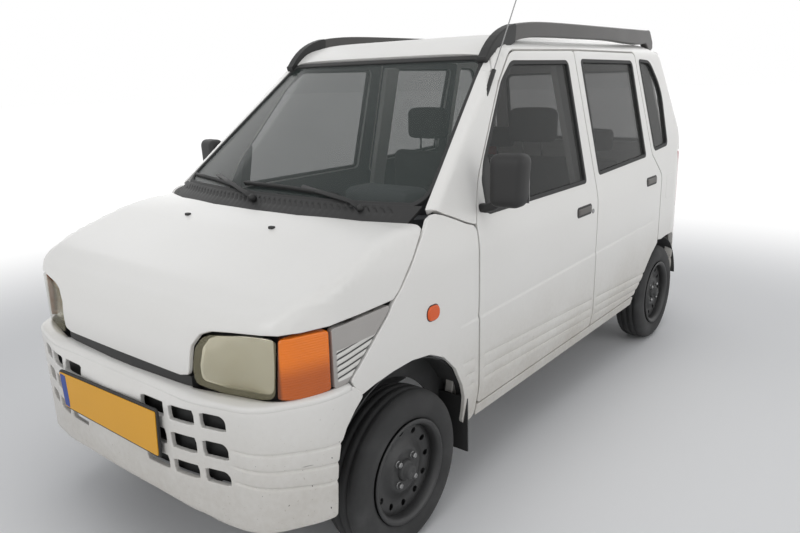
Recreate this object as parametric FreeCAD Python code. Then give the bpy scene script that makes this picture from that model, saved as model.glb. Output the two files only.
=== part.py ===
# A small four-door upright car. Millimetres: x across with the car's left at plus, y to the rear, z up.
# The origin is on the ground, midway along the car and midway across it.
import os
import math
import FreeCAD
import Part
from FreeCAD import Vector

os.makedirs("parts", exist_ok=True)

# Overall stance
WHEELBASE = 2300.0
FRONT_AXLE_Y = -1039.0
REAR_AXLE_Y = FRONT_AXLE_Y + WHEELBASE
TYRE_RADIUS = 267.0
HALF_TRACK = 607.0
FRONT_Y = -1650.0
REAR_Y = 1660.0
HALF_WIDTH = 695.0

# Body heights
SILL_Z = 293.0
DOOR_BOTTOM_Z = 345.0
BELT_Z = 1032.0
ROOF_EDGE_Z = 1586.0
ROOF_TOP_Z = 1672.0
BUMPER_TOP_Z = 660.0
BONNET_LIP_Z = 720.0
LAMP_TOP_Z = 858.0
TAILGATE_BOTTOM_Z = 500.0

# Wall thicknesses, measured square to the skin
DOOR_WALL = 56.0
FRAME_WALL = 26.0
GLASS_DEPTH = 9.0
GLASS_WALL = 5.0
BUMPER_WALL = 32.0
BONNET_WALL = 30.0

# Gaps between panels
DOOR_GAP = 7.0
PANEL_GAP = 6.0

# Side view, y and z of the doors' edges
DOOR_FRONT_Y = -640.0
DOOR_SEAM_Y = 344.0
REAR_DOOR_TOP_Y = 1082.0
REAR_DOOR_LOW_Y = 1180.0

# Windscreen: a slanted part of a wide cylinder
SCREEN_BASE_Y = -1000.0
SCREEN_BASE_Z = 1078.0
SCREEN_TOP_Y = -357.0
SCREEN_TOP_Z = 1575.0
SCREEN_RADIUS = 3000.0

# Wheel arches
FRONT_ARCH_RADIUS = 372.0
REAR_ARCH_RADIUS = 335.0

# Tyres and rims
TYRE_WIDTH = 150.0
RIM_RADIUS = 168.0
RIM_WALL = 5.0
DISC_X = 656.0
SPINDLE_RADIUS = 20.0
HUB_RADIUS = 34.0
RUNNING_GAP = 0.3
WHEEL_HOLES = 12
WHEEL_HOLE_RADIUS = 11.0
WHEEL_HOLE_CIRCLE = 126.0

# Steering swivel axis, from the lower ball joint to the strut's top
BALL_X = 560.0
BALL_Z = 150.0
STRUT_TOP_X = 440.0
STRUT_TOP_Z = 790.0
STRUT_RADIUS = 22.0

# Hinges: a pin on the body, held by an arm, between two knuckles of the panel that swings
HINGE_PIN_RADIUS = 5.0
HINGE_HALF_HEIGHT = 25.0
HINGE_ARM_HALF_HEIGHT = 11.0
HINGE_ARM_HALF_WIDTH = 4.0
HINGE_ROOM = 6.0
DOOR_HINGE_X = 680.0
DOOR_HINGE_INSET = 26.0
DOOR_HINGE_HEIGHTS = (480.0, 860.0)
GATE_HINGE_X = -535.0
GATE_HINGE_Y = 1640.0
GATE_HINGE_HEIGHTS = (620.0, 1062.0)
BONNET_HINGE_X = 570.0
BONNET_HINGE_Y = -900.0
BONNET_HINGE_Z = 1066.0

# Seats
SEAT_X = 310.0
SEAT_HALF = 235.0


def fillet_outline(points):
    """Closed outline from (a, b) or (a, b, corner radius) points, as edges in the plane of a and b."""
    count = len(points)
    starts = []
    ends = []
    middles = []
    for index in range(count):
        here = points[index]
        centre = Vector(here[0], here[1], 0)
        radius = here[2] if len(here) > 2 else 0
        before = points[index - 1]
        after = points[(index + 1) % count]
        back = (Vector(before[0], before[1], 0) - centre).normalize()
        ahead = (Vector(after[0], after[1], 0) - centre).normalize()
        angle = back.getAngle(ahead)
        if radius == 0 or abs(angle - math.pi) < 0.001:
            starts.append(centre)
            ends.append(centre)
            middles.append(None)
            continue
        reach = radius / math.tan(angle / 2)
        starts.append(centre + back * reach)
        ends.append(centre + ahead * reach)
        bisector = (back + ahead).normalize()
        middles.append(centre + bisector * (radius / math.sin(angle / 2) - radius))
    edges = []
    for index in range(count):
        if middles[index] is not None:
            edges.append(Part.Arc(starts[index], middles[index], ends[index]).toShape())
        following = (index + 1) % count
        if (starts[following] - ends[index]).Length > 0.001:
            edges.append(Part.makeLine(ends[index], starts[following]))
    return Part.Wire(edges)


PLANES = {
    "yz": FreeCAD.Matrix(0, 0, 1, 0, 1, 0, 0, 0, 0, 1, 0, 0, 0, 0, 0, 1),
    "xz": FreeCAD.Matrix(1, 0, 0, 0, 0, 0, 1, 0, 0, 1, 0, 0, 0, 0, 0, 1),
    "xy": FreeCAD.Matrix(),
}
NORMALS = {"yz": Vector(1, 0, 0), "xz": Vector(0, 1, 0), "xy": Vector(0, 0, 1)}


def shifted(points, inset):
    """The same outline with every edge moved inwards, and its corner radii changed to suit."""
    count = len(points)
    area = sum(points[i - 1][0] * points[i][1] - points[i][0] * points[i - 1][1] for i in range(count))
    turn = 1 if area > 0 else -1
    lines = []
    for index in range(count):
        a = Vector(points[index][0], points[index][1], 0)
        b = Vector(points[(index + 1) % count][0], points[(index + 1) % count][1], 0)
        along = (b - a).normalize()
        inward = Vector(-along.y, along.x, 0) * turn
        lines.append((a + inward * inset, along))
    moved = []
    for index in range(count):
        (p, u), (q, v) = lines[index - 1], lines[index]
        cross = u.x * v.y - u.y * v.x
        radius = points[index][2] if len(points[index]) > 2 else 0
        if abs(cross) < 1e-6:
            corner = q
        else:
            corner = p + u * (((q.x - p.x) * v.y - (q.y - p.y) * v.x) / cross)
        bulge = turn if cross > 0 else -turn
        moved.append((corner.x, corner.y, max(radius - bulge * inset, 0) if radius else 0))
    return moved


def prism(plane, points, start, end, inset=0.0):
    """Solid from an outline in one plane, between two stations along the plane's normal."""
    if inset:
        points = shifted(points, inset)
    wire = fillet_outline(points)
    wire = wire.transformGeometry(PLANES[plane])
    wire.translate(NORMALS[plane] * start)
    return Part.Face(wire).extrude(NORMALS[plane] * (end - start))


def box(x0, x1, y0, y1, z0, z1):
    return Part.makeBox(x1 - x0, y1 - y0, z1 - z0, Vector(x0, y0, z0))


def rod(start, end, radius):
    a = Vector(*start)
    b = Vector(*end)
    return Part.makeCylinder(radius, (b - a).Length, a, b - a)


def tube(start, end, outer, inner):
    return rod(start, end, outer).cut(rod(start, end, inner))


def mirrored(shape):
    return shape.mirror(Vector(0, 0, 0), Vector(1, 0, 0))


def pair(shape):
    return [shape, mirrored(shape)]


def fused(shapes):
    joined = shapes[0]
    if len(shapes) > 1:
        joined = shapes[0].fuse(shapes[1:])
    return joined.removeSplitter()


def save(name, *shapes):
    solids = []
    for shape in shapes:
        solids.extend(solid for solid in shape.Solids if solid.Volume > 50)
    body = solids[0] if len(solids) == 1 else Part.makeCompound(solids)
    body.exportStep("parts/" + name + ".step")
    print(name, len(solids), round(sum(s.Volume for s in solids) / 1e6, 2))


def whole(half):
    """Outline symmetric about the car's middle, from its left half, whose last point is on the middle."""
    side = half[:-1]
    return side + [half[-1]] + [(-point[0],) + tuple(point[1:]) for point in reversed(side)]


# Outer body, as the part common to three outlines and the windscreen's cylinder
UNDER_Z = 150.0
SIDE_OUTLINE = [
    (-1500.0, UNDER_Z), (SCREEN_BASE_Y - 600, SCREEN_BASE_Z - 460), (SCREEN_BASE_Y, SCREEN_BASE_Z),
    (SCREEN_TOP_Y, SCREEN_TOP_Z, 150), (-150.0, 1645.0, 300), (350.0, ROOF_TOP_Z, 1500),
    (1150.0, 1652.0, 400), (1430.0, 1585.0, 60), (1612.0, 1050.0, 400), (1645.0, 700.0, 200),
    (1645.0, UNDER_Z)]
FRONT_HALF = [
    (640.0, UNDER_Z), (690.0, 420.0, 200), (HALF_WIDTH, 680.0, 200), (HALF_WIDTH, 930.0, 250),
    (679.0, 1010.0, 300), (548.0, ROOF_EDGE_Z + 8, 70), (430.0, 1652.0, 260), (0.0, 1690.0)]
PLAN_HALF = [
    (HALF_WIDTH + 5, -1500.0), (HALF_WIDTH + 5, 1400.0, 200), (650.0, 1590.0, 90), (500.0, 1640.0, 300),
    (0.0, REAR_Y)]


def screen_cylinder(inset):
    slope = Vector(0, SCREEN_TOP_Y - SCREEN_BASE_Y, SCREEN_TOP_Z - SCREEN_BASE_Z).normalize()
    inward = Vector(0, slope.z, -slope.y)
    foot = Vector(0, SCREEN_BASE_Y, SCREEN_BASE_Z) + inward * SCREEN_RADIUS - slope * 3000
    return Part.makeCylinder(SCREEN_RADIUS - inset, 7000, foot, slope)


def cabin(inset):
    side = prism("yz", SIDE_OUTLINE, -800, 800, inset)
    front = prism("xz", whole(FRONT_HALF), -1700, 1800, inset)
    plan = prism("xy", whole(PLAN_HALF), 0, 2000, inset)
    whole_form = side.common(front).common(plan).common(screen_cylinder(inset))
    return whole_form.common(box(-900, 900, -1700, 1800, SILL_Z, 2000))


POST_DEPTH = DOOR_WALL + 14.0
POST_WALL = 34.0
BODY = {inset: cabin(inset) for inset in (0.0, GLASS_DEPTH, GLASS_DEPTH + GLASS_WALL, FRAME_WALL,
                                          DOOR_WALL, POST_DEPTH, POST_DEPTH + POST_WALL)}


def layer(outer, inner):
    return BODY[outer].cut(BODY[inner])


SKIN_LOW = layer(0.0, DOOR_WALL)
SKIN_FRAME = layer(0.0, FRAME_WALL)
GLASS_LAYER = layer(GLASS_DEPTH, GLASS_DEPTH + GLASS_WALL)

# Side openings in side view, as y, z and corner radius
FRONT_DOOR = [
    (DOOR_FRONT_Y, DOOR_BOTTOM_Z, 20), (DOOR_FRONT_Y, 1010.0, 60), (-585.0, 1145.0, 300),
    (-330.0, 1462.0, 300), (-205.0, 1578.0, 110), (DOOR_SEAM_Y - DOOR_GAP / 2, ROOF_EDGE_Z - 3),
    (DOOR_SEAM_Y - DOOR_GAP / 2, DOOR_BOTTOM_Z)]
REAR_DOOR = [
    (DOOR_SEAM_Y + DOOR_GAP / 2, DOOR_BOTTOM_Z), (DOOR_SEAM_Y + DOOR_GAP / 2, ROOF_EDGE_Z - 3),
    (REAR_DOOR_TOP_Y - 30, ROOF_EDGE_Z - 10, 30), (REAR_DOOR_TOP_Y, 1065.0, 40),
    (REAR_DOOR_LOW_Y, 950.0, 60), (REAR_DOOR_LOW_Y, DOOR_BOTTOM_Z)]
FRONT_WINDOW = [
    (-565.0, BELT_Z, 20), (-562.0, 1165.0, 200), (-312.0, 1470.0, 200), (-215.0, 1540.0, 80),
    (266.0, 1540.0, 25), (208.0 + 40, BELT_Z, 20)]
REAR_WINDOW = [
    (390.0, BELT_Z + 16, 15), (398.0, 1545.0, 20), (1000.0, 1537.0, 30), (990.0, BELT_Z + 34, 20)]
QUARTER_WINDOW = [
    (1122.0, 1080.0, 25), (1100.0, 1545.0, 20), (1255.0, 1537.0, 90), (1368.0, 1390.0, 200),
    (1335.0, 1092.0, 40)]

NEAR = (300.0, 900.0)
front_door_zone = prism("yz", FRONT_DOOR, *NEAR)
rear_door_zone = prism("yz", REAR_DOOR, *NEAR)
front_door_hole = prism("yz", FRONT_DOOR, *NEAR, inset=-PANEL_GAP)
rear_door_hole = prism("yz", REAR_DOOR, *NEAR, inset=-PANEL_GAP)
front_window_zone = prism("yz", FRONT_WINDOW, *NEAR)
rear_window_zone = prism("yz", REAR_WINDOW, *NEAR)
quarter_zone = prism("yz", QUARTER_WINDOW, *NEAR)

rear_arch = rod((-900, REAR_AXLE_Y, TYRE_RADIUS), (900, REAR_AXLE_Y, TYRE_RADIUS), REAR_ARCH_RADIUS)
front_arch = rod((-900, FRONT_AXLE_Y - 5, TYRE_RADIUS), (900, FRONT_AXLE_Y - 5, TYRE_RADIUS),
                 FRONT_ARCH_RADIUS)

# Doors: a thick lower part and a thin frame round the window
SPLIT_Z = BELT_Z - 14
low_zone = box(300, 900, -2000, 2000, 0, SPLIT_Z)
high_zone = box(300, 900, -2000, 2000, SPLIT_Z, 2000)


def door(zone, window):
    low = SKIN_LOW.common(zone).common(low_zone)
    high = SKIN_FRAME.common(zone).common(high_zone).cut(window)
    return fused([low, high])


def handle(y, z):
    """A door's pull handle, let into the skin."""
    return box(HALF_WIDTH - 14, HALF_WIDTH + 6, y - 60, y + 60, z - 17, z + 17)


def mirror_unit():
    """The left door mirror: a head on a foot at the window's front corner."""
    head = box(722, 842, -632, -560, 1062, 1232)
    head = head.makeFillet(22, head.Edges)
    foot = box(668, 740, -612, -572, 1036, 1070)
    return fused([head, foot])


def upright_pin(x, y, z, radius, half_height):
    return rod((x, y, z - half_height), (x, y, z + half_height), radius)


def door_hinge(y, z):
    """A door hinge's pin on its arm, and the pocket and bore that the door gets for it."""
    pin = upright_pin(DOOR_HINGE_X, y, z, HINGE_PIN_RADIUS, HINGE_HALF_HEIGHT)
    arm = box(HALF_WIDTH - POST_DEPTH - 8, DOOR_HINGE_X, y - HINGE_ARM_HALF_WIDTH, y + HINGE_ARM_HALF_WIDTH,
              z - HINGE_ARM_HALF_HEIGHT, z + HINGE_ARM_HALF_HEIGHT)
    pocket = box(HALF_WIDTH - DOOR_WALL - 20, DOOR_HINGE_X + HINGE_PIN_RADIUS + 2, y - DOOR_HINGE_INSET - 10,
                 y + HINGE_ARM_HALF_WIDTH + HINGE_ROOM, z - HINGE_ARM_HALF_HEIGHT - HINGE_ROOM,
                 z + HINGE_ARM_HALF_HEIGHT + HINGE_ROOM)
    bore = upright_pin(DOOR_HINGE_X, y, z, HINGE_PIN_RADIUS + RUNNING_GAP, HINGE_HALF_HEIGHT + 2)
    return fused([pin, arm]), fused([pocket, bore])


# The sail panel that fills the door window's front corner and carries the mirror
sail_zone = box(300, 900, -600, -500, SPLIT_Z, 1300)
front_door = door(front_door_zone, front_window_zone)
sail = layer(0.0, FRAME_WALL).common(front_window_zone).common(sail_zone)
front_door = fused([front_door, sail]).cut(mirror_unit())
rear_door = door(rear_door_zone, rear_window_zone).cut(rear_arch)
front_glass = GLASS_LAYER.common(front_window_zone).cut(sail_zone)
rear_glass = GLASS_LAYER.common(rear_window_zone)
HANDLES = {"front": (200, 914), "rear": (1030, 934)}
door_hinges = []
for z in DOOR_HINGE_HEIGHTS:
    pin, room = door_hinge(DOOR_FRONT_Y + DOOR_HINGE_INSET, z)
    front_door = front_door.cut(room)
    door_hinges.append(pin)
    pin, room = door_hinge(DOOR_SEAM_Y + DOOR_GAP / 2 + DOOR_HINGE_INSET, z)
    rear_door = rear_door.cut(room)
    door_hinges.append(pin)

SIDES = (("left", lambda shape: shape), ("right", mirrored))
for side, turn in SIDES:
    for name, shape, glass in (("front", front_door, front_glass), ("rear", rear_door, rear_glass)):
        grip = handle(*HANDLES[name])
        save("door_" + name + "_" + side, turn(fused([shape, grip])))
        save("door_glass_" + name + "_" + side, turn(glass))
    save("door_mirror_" + side, turn(mirror_unit()))

# Body side: pillars, sill and rear quarter round the door openings
ROOF_SPLIT_X = 500.0
FENDER_REAR_Y = DOOR_FRONT_Y - PANEL_GAP
FENDER = [
    (FENDER_REAR_Y, SILL_Z), (FENDER_REAR_Y, 1012.0), (-790.0, 1024.0), (-890.0, 1066.0),
    (-925.0, 1048.0), (-1036.0, 950.0), (-1121.0, 852.0), (-1327.0, 661.0), (-1225.0, 600.0),
    (-1225.0, SILL_Z)]
fender_zone = prism("yz", FENDER, *NEAR)
TAILGATE = [
    (-560.0, TAILGATE_BOTTOM_Z, 40), (560.0, TAILGATE_BOTTOM_Z, 40), (560.0, 1060.0, 200),
    (492.0, 1566.0, 60), (-492.0, 1566.0, 60), (-560.0, 1060.0, 200)]
REAR_WINDOW_HOLE = [
    (-470.0, 1085.0, 50), (470.0, 1085.0, 50), (425.0, 1500.0, 60), (-425.0, 1500.0, 60)]
TAIL = (1300.0, 1900.0)
tailgate_zone = prism("xz", TAILGATE, *TAIL)
tailgate_hole = prism("xz", TAILGATE, *TAIL, inset=-8.0)
tail_window_zone = prism("xz", REAR_WINDOW_HOLE, *TAIL)
TAIL_LAMP = [(572.0, 720.0, 20), (572.0, 1040.0, 20), (760.0, 1040.0), (760.0, 720.0)]
lamp_zone = prism("xz", TAIL_LAMP, 1500, 1900)
bumper_zone = box(-900, 900, 1380, 1900, SILL_Z - 10, TAILGATE_BOTTOM_Z - PANEL_GAP)
roof_zone = box(-ROOF_SPLIT_X, ROOF_SPLIT_X, -360, 1470, 1560, 1800)
SCREEN_LOW_Z = 1098.0
COWL_Z = (1000.0, 1052.0)
screen_zone_points = [(-630.0, SCREEN_LOW_Z, 60), (630.0, SCREEN_LOW_Z, 60), (505.0, 1548.0, 70),
                      (-505.0, 1548.0, 70)]
screen_zone = prism("xz", screen_zone_points, -1200, -150)
cowl_zone = box(-600, 600, -1100, -850, COWL_Z[1], SCREEN_LOW_Z - 2)
SIDE_ZONE_X = 440.0
frame_skin = SKIN_FRAME.common(box(SIDE_ZONE_X, 900, -917, 1700, SPLIT_Z, 2000))
low_skin = SKIN_LOW.common(box(600, 900, FENDER_REAR_Y - 20, 1700, 0, SPLIT_Z))
tail_skin = SKIN_LOW.common(box(SIDE_ZONE_X, 900, 1500, 1700, 0, SPLIT_Z))
side_panel = fused([frame_skin, low_skin, tail_skin])
for hole in (front_door_hole, rear_door_hole, quarter_zone, rear_arch, tailgate_hole, fender_zone,
             lamp_zone, bumper_zone, roof_zone, screen_zone, cowl_zone):
    side_panel = side_panel.cut(hole)
POST_SKIN = layer(POST_DEPTH, POST_DEPTH + POST_WALL)
POST_BLOCK = layer(0.0, POST_DEPTH + POST_WALL)
HOLE_BOTTOM_Z = DOOR_BOTTOM_Z - PANEL_GAP
HOLE_TOP_Z = ROOF_EDGE_Z + PANEL_GAP
centre_post = POST_SKIN.common(box(430, 900, 300, 396, SILL_Z, 1700))
post_foot = POST_BLOCK.common(box(430, 900, 300, 396, SILL_Z, HOLE_BOTTOM_Z))
post_head = POST_BLOCK.common(box(430, 900, 300, 396, HOLE_TOP_Z, 1700))
front_post = POST_SKIN.common(box(430, 900, -712, -590, SILL_Z, SPLIT_Z))
front_foot = POST_BLOCK.common(box(430, 900, -712, -590, SILL_Z, HOLE_BOTTOM_Z))
front_head = POST_BLOCK.common(box(430, 900, -712, -650, SPLIT_Z - 40, SPLIT_Z + 16))
side_panel = fused([side_panel, centre_post, post_foot, post_head.cut(roof_zone),
                    front_post, front_foot.cut(fender_zone), front_head.cut(fender_zone)] + door_hinges)
right_side = mirrored(side_panel)
for z in GATE_HINGE_HEIGHTS:
    pin = upright_pin(GATE_HINGE_X, GATE_HINGE_Y, z, HINGE_PIN_RADIUS, HINGE_HALF_HEIGHT)
    arm = box(GATE_HINGE_X - 57, GATE_HINGE_X, GATE_HINGE_Y - 6, GATE_HINGE_Y + 6,
              z - HINGE_ARM_HALF_HEIGHT, z + HINGE_ARM_HALF_HEIGHT)
    foot = box(GATE_HINGE_X - 57, GATE_HINGE_X - 39, GATE_HINGE_Y - 65, GATE_HINGE_Y + 6,
               z - HINGE_ARM_HALF_HEIGHT, z + HINGE_ARM_HALF_HEIGHT)
    right_side = fused([right_side, pin, arm, foot])
save("body_sides", side_panel, right_side)
save("quarter_glass", *pair(GLASS_LAYER.common(quarter_zone)))

roof = SKIN_FRAME.common(roof_zone)
save("roof", roof.cut(screen_zone).cut(tailgate_hole))
screen_sheet = screen_cylinder(GLASS_DEPTH).cut(screen_cylinder(GLASS_DEPTH + GLASS_WALL))
save("windscreen", screen_sheet.common(screen_zone))

# Tailgate, hinged on the car's right
gate_low = SKIN_LOW.common(tailgate_zone).common(box(-900, 900, 1300, 1900, 0, SPLIT_Z))
gate_high = SKIN_FRAME.common(tailgate_zone).common(box(-900, 900, 1300, 1900, SPLIT_Z, 2000))
tailgate = fused([gate_low, gate_high.cut(tail_window_zone)])
for z in GATE_HINGE_HEIGHTS:
    for low in (z - HINGE_HALF_HEIGHT, z + HINGE_ARM_HALF_HEIGHT + 1):
        high = low + HINGE_HALF_HEIGHT - HINGE_ARM_HALF_HEIGHT - 1
        ring = rod((GATE_HINGE_X, GATE_HINGE_Y, low), (GATE_HINGE_X, GATE_HINGE_Y, high), 10)
        web = box(GATE_HINGE_X - 8, GATE_HINGE_X + 30, GATE_HINGE_Y - 60, GATE_HINGE_Y, low, high)
        tailgate = fused([tailgate, ring, web])
    tailgate = tailgate.cut(upright_pin(GATE_HINGE_X, GATE_HINGE_Y, z, HINGE_PIN_RADIUS + RUNNING_GAP,
                                        HINGE_HALF_HEIGHT + 2))
save("tailgate", tailgate)
save("tailgate_glass", GLASS_LAYER.common(tail_window_zone))
save("tail_lamps", *pair(BODY[0.0].cut(BODY[FRAME_WALL]).common(lamp_zone)))
rear_bumper = SKIN_LOW.common(bumper_zone)
save("rear_bumper", rear_bumper.cut(rear_arch))

# Nose: bonnet, lamps and corner trims share one outer form, and the bumper has its own
NOSE_SIDE = [
    (-1605.0, 450.0), (-1603.0, 760.0, 150), (-1560.0, 885.0, 110), (-1440.0, 942.0, 260),
    (-1150.0, 1036.0, 600), (-1010.0, 1069.0), (-700.0, 1080.0), (-700.0, 450.0)]
NOSE_FRONT = [
    (HALF_WIDTH - 2, 400.0), (HALF_WIDTH - 2, 850.0, 60), (688.0, 970.0, 100), (662.0, 1058.0, 50),
    (0.0, 1092.0)]
NOSE_PLAN = [
    (HALF_WIDTH - 2, -600.0), (HALF_WIDTH - 2, -1340.0, 220), (628.0, -1515.0, 110),
    (335.0, -1592.0, 500), (0.0, -1606.0)]
BUMPER_SIDE = [
    (-1200.0, SILL_Z + 5), (FRONT_Y + 60, SILL_Z + 5, 20), (FRONT_Y, 345.0, 50), (FRONT_Y, 620.0, 45),
    (FRONT_Y + 40, BUMPER_TOP_Z + 5, 20), (-1200.0, BUMPER_TOP_Z + 5)]
BUMPER_PLAN = [
    (HALF_WIDTH, -1100.0), (HALF_WIDTH, -1400.0, 240), (590.0, -1572.0, 160), (330.0, -1636.0, 600),
    (0.0, FRONT_Y)]


def nose(inset):
    side = prism("yz", NOSE_SIDE, -800, 800, inset)
    front = prism("xz", whole(NOSE_FRONT), -1700, -800, inset)
    plan = prism("xy", whole(NOSE_PLAN), 500, 1200, inset)
    return side.common(front).common(plan).common(box(-800, 800, -1700, -880, 600, 1200))


def bumper_form(inset):
    """The bumper's outer form, or what lies behind its skin: open above and below."""
    front = FRONT_Y + inset
    side = BUMPER_SIDE
    if inset:
        side = [(-1100.0, SILL_Z - 100), (front + 60, SILL_Z - 100), (front + 60, SILL_Z + 5, 20),
                (front, 345.0, 50), (front, 620.0, 45), (front + 40, BUMPER_TOP_Z + 5, 20),
                (front + 40, BUMPER_TOP_Z + 200), (-1100.0, BUMPER_TOP_Z + 200)]
    plan = prism("xy", whole(BUMPER_PLAN), 100, 900, inset)
    return prism("yz", side, -800, 800).common(plan)


NOSE_SKIN = nose(0.0).cut(nose(BONNET_WALL))
BONNET_FRONT = [
    (800.0, LAMP_TOP_Z, 0), (385.0, LAMP_TOP_Z, 30), (345.0, BONNET_LIP_Z, 30), (-345.0, BONNET_LIP_Z, 30),
    (-385.0, LAMP_TOP_Z, 30), (-800.0, LAMP_TOP_Z), (-800.0, 1300.0), (800.0, 1300.0)]
BONNET_SIDE = [
    (-1700.0, 650.0), (-1700.0, 1300.0), (-935.0, 1300.0), (-929.0, 1054.0), (-1042.0, 950.0),
    (-1122.0, LAMP_TOP_Z), (-1122.0, 650.0)]
BONNET_PLAN = [
    (800.0, -1700.0), (800.0, -915.0), (655.0, -923.0), (0.0, -1030.0), (-655.0, -923.0),
    (-800.0, -915.0), (-800.0, -1700.0)]
bonnet_zone = prism("xz", BONNET_FRONT, -1700, -850).common(prism("yz", BONNET_SIDE, -800, 800))
bonnet_zone = bonnet_zone.common(prism("xy", BONNET_PLAN, 600, 1300))
bonnet_hinge_line = (BONNET_HINGE_Y, BONNET_HINGE_Z)
bonnet_arm = box(BONNET_HINGE_X - 8, BONNET_HINGE_X + 8, BONNET_HINGE_Y - 50, BONNET_HINGE_Y,
                 BONNET_HINGE_Z - 21, BONNET_HINGE_Z - 6)
bonnet_knuckle = rod((BONNET_HINGE_X - 8, *bonnet_hinge_line), (BONNET_HINGE_X + 8, *bonnet_hinge_line), 11)
bonnet_bore = rod((BONNET_HINGE_X - 20, *bonnet_hinge_line), (BONNET_HINGE_X + 20, *bonnet_hinge_line),
                  HINGE_PIN_RADIUS + RUNNING_GAP)
bonnet = fused([NOSE_SKIN.common(bonnet_zone)] + pair(bonnet_arm.fuse(bonnet_knuckle)))
save("bonnet", bonnet.cut(fused(pair(bonnet_bore))))
bonnet_gap = bonnet_zone.translated(Vector(0, PANEL_GAP, 0))
hinge_notch = box(BONNET_HINGE_X - 22, BONNET_HINGE_X + 22, BONNET_HINGE_Y - 90, BONNET_HINGE_Y + 18,
                  BONNET_HINGE_Z - 30, BONNET_HINGE_Z + 60)
bonnet_pin = rod((BONNET_HINGE_X - 26, *bonnet_hinge_line), (BONNET_HINGE_X + 26, *bonnet_hinge_line),
                 HINGE_PIN_RADIUS)

LAMP_WALL = 60.0
lamp_skin = nose(0.0).cut(nose(LAMP_WALL))
HEADLAMP = [(352.0, 688.0, 30), (386.0, 854.0, 24), (612.0, 854.0), (612.0, 668.0), (520.0, 668.0, 200)]
INDICATOR = [(616.0, 668.0), (616.0, 854.0), (700.0, 854.0), (700.0, 668.0)]
headlamp_zone = prism("xz", HEADLAMP, -1700, -1380)
indicator_zone = prism("xz", INDICATOR, -1700, -1352)
save("headlamps", *pair(lamp_skin.common(headlamp_zone)))
save("indicators", *pair(lamp_skin.common(indicator_zone)))
CORNER_TRIM = [(-1348.0, 661.0), (-1348.0, 852.0), (-1121.0, 852.0), (-1327.0, 661.0)]
save("corner_trims", *pair(NOSE_SKIN.common(prism("yz", CORNER_TRIM, *NEAR))))

fender_front = NOSE_SKIN.common(fender_zone).common(box(300, 900, -1400, -1000.0, 0, 1100))
fender_rear = SKIN_FRAME.common(fender_zone).common(box(596, 900, -1000, 0, 0, 1100))
fender_low = prism("xy", [(HALF_WIDTH - 2, -1260.0), (HALF_WIDTH - 2, -1000.0),
                          (HALF_WIDTH - 32, -1000.0), (HALF_WIDTH - 32, -1260.0)], SILL_Z, 600)
fender = fused([fender_front, fender_rear, fender_low.common(fender_zone)]).cut(front_arch).cut(cowl_zone)
save("front_fenders", *pair(fender))

bumper = bumper_form(0.0).cut(bumper_form(BUMPER_WALL))
bumper_side = prism("yz", [(-1700.0, 200.0), (-1700.0, BUMPER_TOP_Z), (-1333.0, BUMPER_TOP_Z),
                           (-1231.0, 598.0), (-1231.0, 200.0)], -800, 800)
bumper = bumper.common(bumper_side).cut(front_arch)
SLOT_ROWS = ((597.0, 641.0), (512.0, 559.0), (434.0, 475.0))
SLOT_COLUMNS = ((170.0, 276.0, 0), (298.0, 392.0, 0), (414.0, 496.0, 22))
slots = []
for z0, z1 in SLOT_ROWS:
    for x0, x1, corner in SLOT_COLUMNS:
        outline = [(x0, z0), (x1, z0), (x1, z1, corner), (x0, z1)]
        slots += pair(prism("xz", outline, -1800, -1500))
save("front_bumper", bumper.cut(fused(slots)))

# Wheels
def ring_profile(points):
    """Solid turned about the x axis from (x, radius) points."""
    edges = Part.makePolygon([Vector(x, r, 0) for x, r in points + points[:1]])
    return Part.Face(edges).revolve(Vector(0, 0, 0), Vector(1, 0, 0), 360)


def tyre():
    half = TYRE_WIDTH / 2
    outline = [
        (-half + 14, RIM_RADIUS), (-half, RIM_RADIUS + 34), (-half + 12, TYRE_RADIUS - 14),
        (-half + 28, TYRE_RADIUS), (half - 28, TYRE_RADIUS), (half - 12, TYRE_RADIUS - 14),
        (half, RIM_RADIUS + 34), (half - 14, RIM_RADIUS)]
    return ring_profile(outline)


def rim():
    half = TYRE_WIDTH / 2
    barrel = ring_profile([(-half + 14, RIM_RADIUS), (half - 14, RIM_RADIUS), (half - 14, RIM_RADIUS - 12),
                           (-half + 14, RIM_RADIUS - 12)])
    face = DISC_X - HALF_TRACK
    disc = ring_profile([(face - 8, HUB_RADIUS), (face, HUB_RADIUS), (face, 70.0), (face - 16, 100.0),
                         (face - 10, RIM_RADIUS - 12), (face - 20, RIM_RADIUS - 12), (face - 24, 100.0),
                         (face - 8, 66.0)])
    for index in range(WHEEL_HOLES):
        angle = 2 * math.pi * index / WHEEL_HOLES
        y = WHEEL_HOLE_CIRCLE * math.cos(angle)
        z = WHEEL_HOLE_CIRCLE * math.sin(angle)
        disc = disc.cut(rod((-half, y, z), (half, y, z), WHEEL_HOLE_RADIUS))
    hub = ring_profile([(face - 60, SPINDLE_RADIUS + RUNNING_GAP), (face + 14, SPINDLE_RADIUS + RUNNING_GAP),
                        (face + 14, HUB_RADIUS), (face - 60, HUB_RADIUS)])
    return fused([barrel, disc, hub])


RIM = rim()
TYRE = tyre()
WHEELS = (("front", FRONT_AXLE_Y), ("rear", REAR_AXLE_Y))
for end, y in WHEELS:
    for side, turn in SIDES:
        place = Vector(HALF_TRACK, y, TYRE_RADIUS)
        save("wheel_" + end + "_" + side, turn(RIM.translated(place)))
        save("tyre_" + end + "_" + side, turn(TYRE.translated(place)))

# Floor, bulkhead, wheel housings and chassis legs
INSIDE = BODY[DOOR_WALL]
FLOOR_Z = 296.0
FLOOR_WALL = 16.0
BULKHEAD_Y = -660.0
SHELF_Z = 650.0
UPPER_BULKHEAD_Y = -900.0
REAR_FLOOR_Z = 500.0
RISER_Y = 880.0
HOUSING_X = 484.0
LEG_X = (326.0, 376.0)
LEG_Z = (380.0, 450.0)
FENDER_INSIDE = BODY[FRAME_WALL]

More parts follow.
